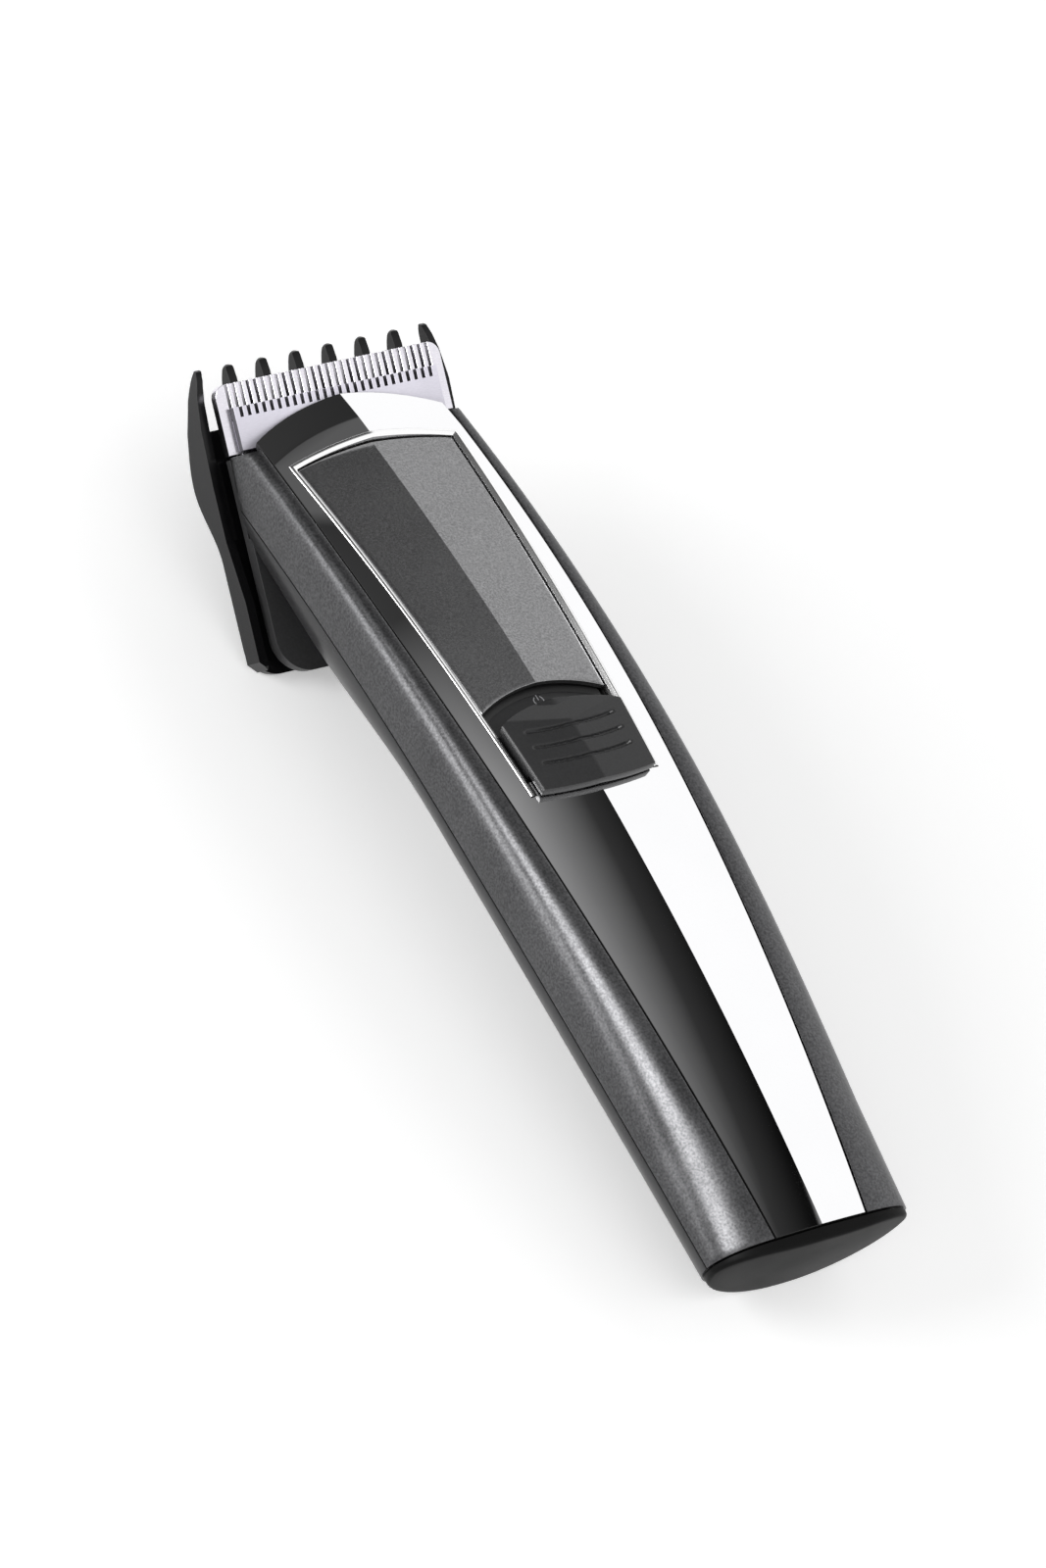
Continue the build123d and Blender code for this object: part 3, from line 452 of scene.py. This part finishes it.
def rounded_copy(name, node, body, width):
    """A copy of a CAD node's mesh with softened edges."""
    mesh = frame["nodes"][node].data.copy()
    mesh.name = name
    shape = bmesh.new()
    shape.from_mesh(mesh)
    bmesh.ops.remove_doubles(shape, verts=shape.verts, dist=2e-6)
    bmesh.ops.dissolve_limit(shape, angle_limit=math.radians(1.0), verts=shape.verts, edges=shape.edges)
    bmesh.ops.recalc_face_normals(shape, faces=shape.faces)
    for face in shape.faces:
        face.smooth = True
    for edge in shape.edges:
        if len(edge.link_faces) == 2 and edge.calc_face_angle() > math.radians(COPY_ANGLE):
            edge.smooth = False
    shape.to_mesh(mesh)
    shape.free()
    mesh.materials.clear()
    mesh.materials.append(MATERIALS[SLOTS[node]])
    obj = bpy.data.objects.new(name, mesh)
    bpy.context.scene.collection.objects.link(obj)
    soften_edges(obj, width, angle=COPY_ANGLE)
    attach(obj, body)
    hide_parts(node)
    return obj


def spaced(low, high, count, crowd=0.0):
    """count + 1 numbers from low to high; crowd above 0 packs them towards both ends."""
    values = []
    for index in range(count + 1):
        t = index / count
        t = t * (1 - crowd) + crowd * (1 - math.cos(math.pi * t)) / 2
        values.append(low + (high - low) * t)
    return values


# ------------------------------------------------------------------ front panel
CROWN_SHARE = 0.12
BROW_BAND = 5.4
BROW_SLOPE = 0.05
FOREHEAD_SEAM_Y = 158.2
BROW_SHARE = 0.42       # share of the forehead's rows below the brow's crease
HANDLE_STEPS = 72


def forehead_y(x):
    return FOREHEAD_Y - FOREHEAD_RADIUS + math.sqrt(FOREHEAD_RADIUS ** 2 - min(abs(x), 34.0) ** 2)


def panel_level(x, y):
    across = min(abs(x) / seam_half(y), 1.0)
    crown = CROWN_SHARE * ridge_rise(y) * 4 * across * (1 - across)
    brow = max(BROW_BAND - (forehead_y(x) - y), 0.0) * BROW_SLOPE
    return roof(x, y) + crown * (1 - smooth_step(y, 120.0, 150.0)) - brow


def rim_arc_y(x, offset):
    """The top edge of the plate's outline grown by offset, at x."""
    half = PLATE_TOP_HALF + offset
    low_y = PLATE_TOP_Y + 0.7 * offset
    rise = PLATE_TOP_RISE + 0.3 * offset
    radius = (half ** 2 + rise ** 2) / (2 * rise)
    if abs(x) >= half:
        return low_y
    return low_y + math.sqrt(radius ** 2 - x ** 2) - (radius - rise)


def column_places(y):
    """Half-widths of the panel's columns at y, from the ridge out: pocket edge, bezel slot, seam."""
    half = plate_half(min(y, PLATE_TOP_Y))
    inner, slot, seam = half + BEZEL_INNER, half + RIM_SLOT, seam_half(y) - SEAM_GAP / 2
    places = [inner * t for t in (0, 0.04, 0.12, 0.25, 0.4, 0.55, 0.7, 0.85)]
    places += [inner, slot]
    places += [slot + (seam - slot) * t for t in (0.2, 0.4, 0.6, 0.8, 0.93, 1.0)]
    return places


POCKET_COLUMN, SLOT_COLUMN = 8, 9


def both_sides(places):
    return [-x for x in reversed(places)] + places[1:]


def make_front_panel():
    parts = []

    def patch(rows):
        grid = [[place(x, y, panel_level(x, y)) for x, y in row] for row in rows]
        parts.append(([p for row in grid for p in row], grid_faces(len(grid), len(grid[0]))))

    slot_bottom = BEZEL_START - 0.1
    seam_y = [at_end("facet", min(k / 10, 1.0), CAP_DEPTH)[1] for k in range(11)]
    rows = []
    for step in range(HANDLE_STEPS + 1):
        t = step / HANDLE_STEPS
        row = []
        for x in both_sides(column_places(t * slot_bottom)):
            low = seam_y[min(int(abs(x) / seam_half(0) * 10), 10)]
            row.append((x, low + (slot_bottom - low) * t))
        rows.append(row)
    patch(rows)
    rows = []
    for y in spaced(slot_bottom, POCKET_BOTTOM, 3):
        rows.append([(x, y) for x in both_sides(column_places(y)[:POCKET_COLUMN + 1])])
    patch(rows)
    corner_y = PLATE_TOP_Y + 0.7 * RIM_SLOT
    for side in (-1, 1):
        rows = []
        for y in spaced(slot_bottom, corner_y, 60):
            rows.append([(side * x, y) for x in column_places(y)[SLOT_COLUMN:]])
        patch(rows)
    start = both_sides(column_places(corner_y))
    rows = []
    shares = spaced(0.0, BROW_SHARE, 6) + spaced(BROW_SHARE, 1.0, 9)[1:]
    for share in shares:
        row = []
        for x0 in start:
            x1 = x0 * (seam_half(FOREHEAD_SEAM_Y) - SEAM_GAP / 2) / (seam_half(corner_y) - SEAM_GAP / 2)
            low, high = rim_arc_y(x0, RIM_SLOT), forehead_y(x1)
            crease = max(high - BROW_BAND, low + 0.3)
            if share <= BROW_SHARE:
                y = low + (crease - low) * share / BROW_SHARE
            else:
                y = crease + (high - crease) * (share - BROW_SHARE) / (1 - BROW_SHARE)
            row.append((x0 + (x1 - x0) * share, y))
        rows.append(row)
    patch(rows)
    return merged(parts)


# the panel's inner face, rim and rounded edges are painted near-black, as shade in the gaps round it
add_piece("front_panel_skin", make_front_panel(), "housing", "mirror_chrome", outward=(0, 0, 1),
          thickness=WALL, edge=0.12, crease=True, nodes=["front_panel"], rim_material=painted_shade_black)


# ------------------------------------------------------------------ pocket under the plate
LEDGE_DEPTH, TRAY_DEPTH, TRAY_UNDER = 1.45, 2.3, 3.5


def make_pocket():
    top, under = [], []
    for y in spaced(POCKET_BOTTOM - 0.6, 152.0, 40):
        half = plate_half(min(y, PLATE_TOP_Y))
        inner = LEDGE_DEPTH if y < POCKET_BOTTOM else TRAY_DEPTH
        places = [(half + 1.2, LEDGE_DEPTH), (half + 0.2, LEDGE_DEPTH), (half + 0.19, inner),
                  (half * 0.5, inner), (0, inner)]
        row = [(-x, depth) for x, depth in places] + [(x, depth) for x, depth in reversed(places[:-1])]
        top.append([place(x, y, roof(x, y, depth, PLATE_SHARE)) for x, depth in row])
        under.append([place(x, y, roof(x, y, TRAY_UNDER, PLATE_SHARE)) for x, depth in row])
    return slab(top, under)


# the tray is painted near-black as shade inside the pocket under the plate
add_piece("pocket_tray", make_pocket(), "housing", "mirror_chrome", material=painted_shade_black)


# ------------------------------------------------------------------ side shells and back cover
SHELL_STEPS = 150
SHELL_EDGE = 0.14
SHOULDER_CROWD = 0.35


def make_shell(side):
    shares = spaced(0.0, 1.0, 40, SHOULDER_CROWD)
    columns = []
    for share in shares:
        low = at_end("shoulder", share, CAP_DEPTH)[1]
        high = front_limit("shoulder", share, True)
        columns.append([low + (high - low) * t for t in spaced(0.0, 1.0, SHELL_STEPS)])
    rows = []
    for step in range(SHELL_STEPS + 1):
        row = []
        for share, column in zip(shares, columns):
            y = column[step]
            x, z = body_point("shoulder", share, y)
            x = max(x, seam_half(y) + SEAM_GAP / 2)
            z = max(z, parting_level(y) + SEAM_GAP / 2)
            row.append(place(side * x, y, z))
        rows.append(row)
    return [p for row in rows for p in row], grid_faces(len(rows), len(shares))


for side, name in ((-1, "left_side_shell"), (1, "right_side_shell")):
    add_piece(name + "_skin", make_shell(side), "housing", "shell_graphite", outward=(side, 0, 0.4),
              thickness=WALL, edge=SHELL_EDGE, nodes=[name])


def make_back():
    shares = spaced(0.0, 1.0, 36)
    columns = []
    for share in shares:
        low = at_end("bottom", share, CAP_DEPTH)[1]
        columns.append((low, front_limit("bottom", share, False)))
    rows = []
    for step in range(SHELL_STEPS + 1):
        t = step / SHELL_STEPS
        right = []
        for share, (low, high) in zip(shares, columns):
            y = low + (high - low) * t
            x, z = body_point("bottom", share, y)
            right.append((x, y, min(z, parting_level(y) - SEAM_GAP / 2)))
        row = [place(x, y, z) for x, y, z in right]
        row += [place(-x, y, z) for x, y, z in reversed(right[:-1])]
        rows.append(row)
    return [p for row in rows for p in row], grid_faces(len(rows), len(rows[0]))


def flatten_heel(shape):
    """The heel that the clipper rests on is flat."""
    points, faces = shape
    return [Vector((p.x, p.y, max(p.z, HEEL_LIFT * MM))) for p in points], faces


back = add_piece("back_cover_skin", flatten_heel(make_back()), "housing", "cover_black", outward=(0, 0, -1),
                 thickness=WALL, nodes=["back_cover"])


def round_cutter(x, y, radius, low, high, sides=40):
    ring = [(x + radius * math.cos(2 * math.pi * k / sides), y + radius * math.sin(2 * math.pi * k / sides))
            for k in range(sides)]
    points = [place(a, b, low) for a, b in ring] + [place(a, b, high) for a, b in ring]
    faces = [tuple(reversed(range(sides))), tuple(range(sides, 2 * sides))]
    faces += [(k, (k + 1) % sides, sides + (k + 1) % sides, sides + k) for k in range(sides)]
    return points, faces


def cut_round_holes(obj, holes):
    mesh = bpy.data.meshes.new("hole_cutter")
    points, faces = merged([round_cutter(*hole) for hole in holes])
    mesh.from_pydata([tuple(p) for p in points], [], faces)
    cutter = bpy.data.objects.new("hole_cutter", mesh)
    bpy.context.scene.collection.objects.link(cutter)
    cut = obj.modifiers.new("holes", "BOOLEAN")
    cut.operation = "DIFFERENCE"
    cut.solver = "EXACT"
    cut.object = cutter
    bpy.context.view_layer.update()
    graph = bpy.context.evaluated_depsgraph_get()
    result = bpy.data.meshes.new_from_object(obj.evaluated_get(graph))
    obj.modifiers.clear()
    obj.data = result
    bpy.data.objects.remove(cutter)


cut_round_holes(back, [(x, y, SCREW_HOLE_RADIUS, HOLE_LOW, HOLE_HIGH) for x, y in SCREW_PLACES]
                + [(x, y, CONTACT_HOLE_RADIUS, HOLE_LOW, HOLE_HIGH) for x, y in CONTACT_PLACES])
soften_edges(back, SHELL_EDGE)


def cover_level(x, y):
    drop = math.sqrt(1 - min(abs(x) / body_half(y), 1.0) ** 2)
    return parting_level(y) + (back_level(y) - parting_level(y)) * drop


def make_screw_wells():
    """The tube round each case screw, seen down its hole."""
    parts = []
    for x, y in SCREW_PLACES:
        seat = -9.6 if y < 50 else -9.0
        sides = 32
        points, faces = [], []
        for k in range(sides):
            angle = 2 * math.pi * k / sides
            for radius, lowest in ((2.36, True), (2.36, False), (2.9, False), (2.9, True)):
                px, py = x + radius * math.cos(angle), y + radius * math.sin(angle)
                points.append(place(px, py, min(cover_level(px, py) + 0.7, seat) if lowest else seat + 0.4))
        for k in range(sides):
            for j in range(4):
                a, b = k * 4 + j, k * 4 + (j + 1) % 4
                c, d = ((k + 1) % sides) * 4 + (j + 1) % 4, ((k + 1) % sides) * 4 + j
                faces.append((a, b, c, d))
        parts.append((points, faces))
    return merged(parts)


add_piece("screw_wells", make_screw_wells(), "housing", "cover_black")


# ------------------------------------------------------------------ end cap
CAP_EDGE = 0.55
CAP_LIP_INSET, CAP_LIP_DEPTH = 2.6, 5.4


def outline_keys():
    """The section's points in order round the body: kind, share along it, side."""
    right = [("facet", t) for t in spaced(0.0, 1.0, 10)]
    right += [("shoulder", t) for t in spaced(0.0, 1.0, 18, SHOULDER_CROWD)[1:]]
    right += [("bottom", t) for t in spaced(0.0, 1.0, 22)[1:]]
    keys = [(kind, t, 1) for kind, t in right]
    keys += [(kind, t, -1) for kind, t in reversed(right[1:-1])]
    return keys


def dome_depth(x, height):
    return DOME_RADIUS - math.sqrt(DOME_RADIUS ** 2 - x * x - height * height)


def from_end(x, depth, height):
    y = END_Y + depth * math.cos(END_TILT) - height * math.sin(END_TILT)
    return place(x, y, END_Z + depth * math.sin(END_TILT) + height * math.cos(END_TILT))


def make_end_cap():
    keys = outline_keys()
    rings = []

    def outline(inset, depth):
        ring = []
        for kind, t, side in keys:
            x, y, z = at_end(kind, t, depth, inset)
            ring.append((side * x, end_coordinates(y, z)[1]))
        return ring

    flat_ring = outline(CAP_GAP + CAP_EDGE, 0.9)
    for share in spaced(0.0, 1.0, 16)[1:]:
        rings.append([(x * share, dome_depth(x * share, w * share), w * share) for x, w in flat_ring])
    for turn in (22.5, 45.0, 67.5, 90.0):
        angle = math.radians(turn)
        ring = outline(CAP_GAP + CAP_EDGE * (1 - math.sin(angle)), 1.2)
        rings.append([(x, dome_depth(x, w) + CAP_EDGE * (1 - math.cos(angle)), w) for x, w in ring])
    shoulder_depth = CAP_DEPTH - CAP_GAP
    for depth, inset in ((shoulder_depth, CAP_GAP), (shoulder_depth, CAP_LIP_INSET),
                         (CAP_LIP_DEPTH, CAP_LIP_INSET)):
        rings.append([(x, depth, w) for x, w in outline(inset, depth)])
    points = [from_end(*p) for ring in rings for p in ring]
    count = len(keys)
    faces = []
    for i in range(len(rings) - 1):
        for j in range(count):
            k = (j + 1) % count
            faces.append((i * count + j, i * count + k, (i + 1) * count + k, (i + 1) * count + j))
    for start, depth in ((0, 0.0), ((len(rings) - 1) * count, CAP_LIP_DEPTH)):
        centre = len(points)
        points.append(from_end(0, depth, 0))
        faces += [(start + j, start + (j + 1) % count, centre) for j in range(count)]
    return points, faces


add_piece("end_cap_dome", flatten_heel(make_end_cap()), "housing", "cap_grey", nodes=["end_cap"])


# ------------------------------------------------------------------ bezel, plate
# the strip's section from its inner wall to its outer one: share across, height above the facet
BEZEL_PROFILE = ((0.0, -1.4), (0.0, -0.12), (0.05, -0.06), (0.45, 0.27), (0.54, 0.33), (0.64, 0.35),
                 (0.88, 0.35), (0.96, 0.29), (1.0, 0.12), (1.0, -1.4))


def make_bezel():
    """A rounded chrome strip up one side of the plate, round its top and down the other."""
    def rail(offset):
        half_top, low_y = PLATE_TOP_HALF + offset, PLATE_TOP_Y + 0.7 * offset
        side = [(plate_half(y) + offset, y) for y in spaced(BEZEL_START, low_y, 70)]
        side = [(min(x, half_top), y) for x, y in side]
        arc = [half_top * math.cos(math.pi / 2 * t) for t in spaced(0.0, 1.0, 24)[1:]]
        right = side + [(x, rim_arc_y(x, offset)) for x in arc]
        return right + [(-x, y) for x, y in reversed(right[:-1])]

    inner, outer = rail(BEZEL_INNER), rail(BEZEL_OUTER)
    points, faces = [], []
    width = len(BEZEL_PROFILE)
    for (xi, yi), (xo, yo) in zip(inner, outer):
        for share, height in BEZEL_PROFILE:
            x, y = xi + (xo - xi) * share, yi + (yo - yi) * share
            points.append(place(x, y, roof(x, y) + height))
    rows = len(inner)
    for i in range(rows - 1):
        for j in range(width):
            k = (j + 1) % width
            faces.append((i * width + j, i * width + k, (i + 1) * width + k, (i + 1) * width + j))
    faces.append(tuple(range(width)))
    faces.append(tuple(reversed(range((rows - 1) * width, rows * width))))
    return points, faces


add_piece("plate_bezel_strip", make_bezel(), "housing", "bezel_chrome", nodes=["plate_bezel"])


def arc_y(x, half, low_y, rise):
    radius = (half ** 2 + rise ** 2) / (2 * abs(rise))
    lift = math.sqrt(radius ** 2 - min(abs(x), half) ** 2) - (radius - abs(rise))
    return low_y + math.copysign(lift, rise)


PLATE_SUNK, PLATE_UNDER = 0.2, 1.2


def make_plate():
    top, under = [], []
    for t in spaced(0.0, 1.0, 90):
        rows = ([], [])
        for s in spaced(-1.0, 1.0, 32):
            low = arc_y(s * PLATE_BOTTOM_HALF, PLATE_BOTTOM_HALF, PLATE_BOTTOM_Y, PLATE_BOTTOM_RISE)
            high = arc_y(s * PLATE_TOP_HALF, PLATE_TOP_HALF, PLATE_TOP_Y, PLATE_TOP_RISE)
            y = low + (high - low) * t
            x = s * plate_half(y - (low - PLATE_BOTTOM_Y) * (1 - t) - (high - PLATE_TOP_Y) * t)
            rows[0].append(place(x, y, roof(x, y, PLATE_SUNK, PLATE_FACET)))
            rows[1].append(place(x, y, roof(x, y, PLATE_UNDER, PLATE_FACET)))
        top.append(rows[0])
        under.append(rows[1])
    return slab(top, under)


add_piece("face_plate_sheet", make_plate(), "housing", "plate_gunmetal", edge=0.15, crease=True,
          nodes=["face_plate"])


# ------------------------------------------------------------------ thumb switch
GROOVES = (83.5, 86.5, 89.5)
GROOVE_RADIUS, GROOVE_CENTRE = 40.3, 40.6
GROOVE_DEPTH = 0.5


def groove_depth(x, y):
    """Depth of the three arched finger grooves at a point of the pad."""
    depth = 0.0
    for start in GROOVES:
        off = abs(math.hypot(x, y - start - GROOVE_CENTRE) - GROOVE_RADIUS) if y < start + 20 else 9.0
        across = (1 - smooth_step(off, 0.18, 0.42)) * (1 - smooth_step(abs(x), 7.6, 8.4))
        depth = max(depth, GROOVE_DEPTH * across)
    return depth


def pad_block(low_y, high_y, shrink, top_height, under_height, share, rows=24, columns=24, low_rise=-0.9,
              grooved=False, under_share=None):
    """A closed block as wide as the plate less shrink, between two heights above the body's facets."""
    under_share = share if under_share is None else under_share
    top, under = [], []
    half_low, half_high = plate_half(low_y) - shrink, plate_half(high_y) - shrink
    for t in spaced(0.0, 1.0, rows):
        pair = ([], [])
        for s in spaced(-1.0, 1.0, columns):
            low = arc_y(s * half_low, half_low, low_y, low_rise)
            high = arc_y(s * half_high, half_high, high_y, PLATE_BOTTOM_RISE)
            y = low + (high - low) * t
            x = s * (half_low + (half_high - half_low) * t)
            height = roof(x, y, -top_height, share)
            if grooved:
                ramp_top = roof(0, RAMP_START, -PAD_PROUD) - (y - RAMP_START) * RAMP_SLOPE
                height = min(height - groove_depth(x, y), ramp_top)
            pair[0].append(place(x, y, height))
            pair[1].append(place(x, y, roof(x, y, -under_height, under_share)))
        top.append(pair[0])
        under.append(pair[1])
    return slab(top, under)


add_piece("switch_pad", pad_block(PAD_LOW, PAD_HIGH, 0.2, PAD_PROUD, 0.5, 1.0, 110, 64, grooved=True),
          "switch", "switch_grey", edge=0.3, nodes=["switch_button"])
add_piece("switch_slider", merged([
    pad_block(SLIDER_LOW, 92.5, SLIDER_SHRINK, 0.6, -1.6, 1.0, under_share=PLATE_SHARE),
    pad_block(SLIDER_LOW, SLIDER_HIGH, SLIDER_SHRINK, -1.5, -2.05, PLATE_SHARE),
]), "switch", "switch_grey")
add_piece("switch_shade_band",
          pad_block(SHADE_BAND_LOW, SLIDER_HIGH, SLIDER_SHRINK, -1.44, -1.52, PLATE_SHARE,
                    low_rise=PLATE_BOTTOM_RISE),
          "switch", "switch_grey", material=painted_shade_black)


def make_power_mark():
    """A broken ring with a short bar, the usual power symbol, on the strip above the pad."""
    centre_y, radius, stroke, lift = 97.75, 0.85, 0.17, 0.03
    parts = []

    def lay(x, y, height):
        return place(x, y, roof(x, y, 1.5, PLATE_SHARE) + height)

    top, under = [], []
    for angle in [math.radians(a) for a in spaced(125.0, 415.0, 40)]:
        row = []
        for r in (radius - stroke / 2, radius + stroke / 2):
            row.append((r * math.cos(angle), centre_y + r * math.sin(angle)))
        top.append([lay(x, y, lift) for x, y in row])
        under.append([lay(x, y, -0.02) for x, y in row])
    parts.append(slab(top, under))
    top, under = [], []
    for y in (centre_y + 0.1, centre_y + 0.6, centre_y + 1.1):
        top.append([lay(x, y, lift) for x in (-stroke / 2, stroke / 2)])
        under.append([lay(x, y, -0.02) for x in (-stroke / 2, stroke / 2)])
    parts.append(slab(top, under))
    return merged(parts)


add_piece("power_mark", make_power_mark(), "switch", "switch_grey", material=mark_paint)


# ------------------------------------------------------------------ comb and blades from the CAD shapes
rounded_copy("guide_comb_body", "guide_comb", "comb", 0.22)
rounded_copy("fixed_blade_body", "fixed_blade", "housing", 0.06)
rounded_copy("moving_cutter_body", "moving_cutter", "cutter", 0.05)
rounded_copy("blade_holder_body", "blade_holder", "housing", 0.2)
for cad_node, cad_object in frame["nodes"].items():
    if not cad_object.hide_render:
        cad_object.data.materials.clear()
        cad_object.data.materials.append(MATERIALS[SLOTS[cad_node]])


# ------------------------------------------------------------------ floor, light, camera
FLOOR_HALF = 3.0


def make_floor():
    corners = (-FLOOR_HALF, FLOOR_HALF)
    points = [Vector((x, y, 0.0)) for x in corners for y in corners]
    mesh = bpy.data.meshes.new("floor")
    mesh.from_pydata([tuple(p) for p in points], [], [(0, 1, 3, 2)])
    obj = bpy.data.objects.new("floor", mesh)
    bpy.context.scene.collection.objects.link(obj)
    paper = finish_material("floor_white", (0.93, 0.93, 0.93), roughness=0.9, speck=0.005,
                            wear=0.004, wear_scale=3.0, bump=0.02, specular=0.0)
    shader = paper.node_tree.nodes["Principled BSDF"]
    shader.inputs["Emission Color"].default_value = (1, 1, 1, 1)
    shader.inputs["Emission Strength"].default_value = 0.35
    mesh.materials.append(paper)


make_floor()


LIGHT_DISTANCE = 1.0


def area_light(name, direction, size, power, glossy_only=False):
    """A round softbox that faces the clipper; glossy_only leaves it out of the matt shading."""
    data = bpy.data.lights.new(name, "AREA")
    data.shape = "DISK"
    data.size = size
    data.energy = power
    obj = bpy.data.objects.new(name, data)
    bpy.context.scene.collection.objects.link(obj)
    towards = Vector(direction).normalized()
    obj.location = towards * LIGHT_DISTANCE + Vector((0, 0, 0.02))
    obj.rotation_euler = towards.to_track_quat("Z", "Y").to_euler()
    obj.visible_diffuse = not glossy_only


area_light("left_softbox", (-0.84, 0.36, 0.36), 0.55, 5.0)
area_light("heel_softbox", (-0.37, 0.05, 0.93), 0.6, 11.0, glossy_only=True)


# grey levels of the dark card from -X to +X, as share across and level
CARD_STOPS = ((0.0, 0.35), (0.1, 0.3), (0.22, 0.24), (0.36, 0.22), (0.5, 0.24), (0.62, 0.34), (0.655, 0.28),
              (0.685, 0.15), (0.715, 0.03), (0.745, 0.004))


def grey(level):
    return (level, level, level, 1)


def make_world():
    """Soft white studio light with a dark card overhead, which the left facet mirrors."""
    world = bpy.data.worlds.new("studio")
    world.use_nodes = True
    nodes, links = world.node_tree.nodes, world.node_tree.links
    background = nodes["Background"]
    coordinates = nodes.new("ShaderNodeTexCoord")
    split = nodes.new("ShaderNodeSeparateXYZ")
    links.new(coordinates.outputs["Generated"], split.inputs[0])
    across = map_range(nodes, links, split.outputs["X"], (-1.0, 1.0), (0.0, 1.0))
    ramp = nodes.new("ShaderNodeValToRGB")
    ramp.color_ramp.elements[0].color = grey(CARD_STOPS[0][1])
    ramp.color_ramp.elements[1].color = grey(CARD_STOPS[-1][1])
    for position, level in CARD_STOPS[1:]:
        ramp.color_ramp.elements.new(position).color = grey(level)
    links.new(across, ramp.inputs["Fac"])
    fade = map_range(nodes, links, split.outputs["Y"], (0.34, 0.5), (1.0, 0.12))
    card = nodes.new("ShaderNodeVectorMath")
    card.operation = "SCALE"
    links.new(ramp.outputs["Color"], card.inputs[0])
    links.new(fade, card.inputs["Scale"])
    height = map_range(nodes, links, split.outputs["Z"], (0.12, 0.3), (0.0, 1.0))
    ahead = map_range(nodes, links, split.outputs["Y"], (-0.35, -0.1), (0.0, 1.0))
    overhead = multiply(nodes, links, height, ahead)
    rising = map_range(nodes, links, split.outputs["Y"], (0.59, 0.602), (0.0, 1.0))
    falling = map_range(nodes, links, split.outputs["Y"], (0.635, 0.655), (1.0, 0.0))
    strip = multiply(nodes, links, rising, falling)
    glow = nodes.new("ShaderNodeMix")
    glow.data_type = "RGBA"
    glow.blend_type = "LIGHTEN"
    glow.inputs["B"].default_value = grey(0.1)
    links.new(strip, glow.inputs["Factor"])
    links.new(card.outputs["Vector"], glow.inputs["A"])
    white_side = map_range(nodes, links, across, (0.749, 0.765), (0.0, 1.0))
    bright = map_range(nodes, links, across, (0.87, 0.93), (1.0, 1.3))
    white = nodes.new("ShaderNodeCombineColor")
    for channel in ("Red", "Green", "Blue"):
        links.new(bright, white.inputs[channel])
    sides = nodes.new("ShaderNodeMix")
    sides.data_type = "RGBA"
    links.new(white_side, sides.inputs["Factor"])
    links.new(glow.outputs["Result"], sides.inputs["A"])
    links.new(white.outputs["Color"], sides.inputs["B"])
    blend = nodes.new("ShaderNodeMix")
    blend.data_type = "RGBA"
    links.new(overhead, blend.inputs["Factor"])
    blend.inputs["A"].default_value = grey(1)
    links.new(sides.outputs["Result"], blend.inputs["B"])
    links.new(blend.outputs["Result"], background.inputs["Color"])
    background.inputs["Strength"].default_value = 1.05
    bpy.context.scene.world = world


make_world()
bpy.context.scene.view_settings.view_transform = "Standard"

camera_data = bpy.data.cameras.new("camera")
camera_data.lens = 191.25
camera_data.sensor_width = 36.0
camera_data.clip_start = 0.05
camera_data.clip_end = 20.0
camera = bpy.data.objects.new("camera", camera_data)
bpy.context.scene.collection.objects.link(camera)
right = Vector((0.8232, -0.4813, 0.3012))
up = Vector((0.2037, 0.7456, 0.6346))
back_axis = Vector((-0.5299, -0.4610, 0.7118))
rotation = Matrix((right, up, back_axis)).transposed().to_4x4()
camera.matrix_world = Matrix.Translation(Vector((-0.6867, -0.5906, 0.9360))) @ rotation
bpy.context.scene.camera = camera
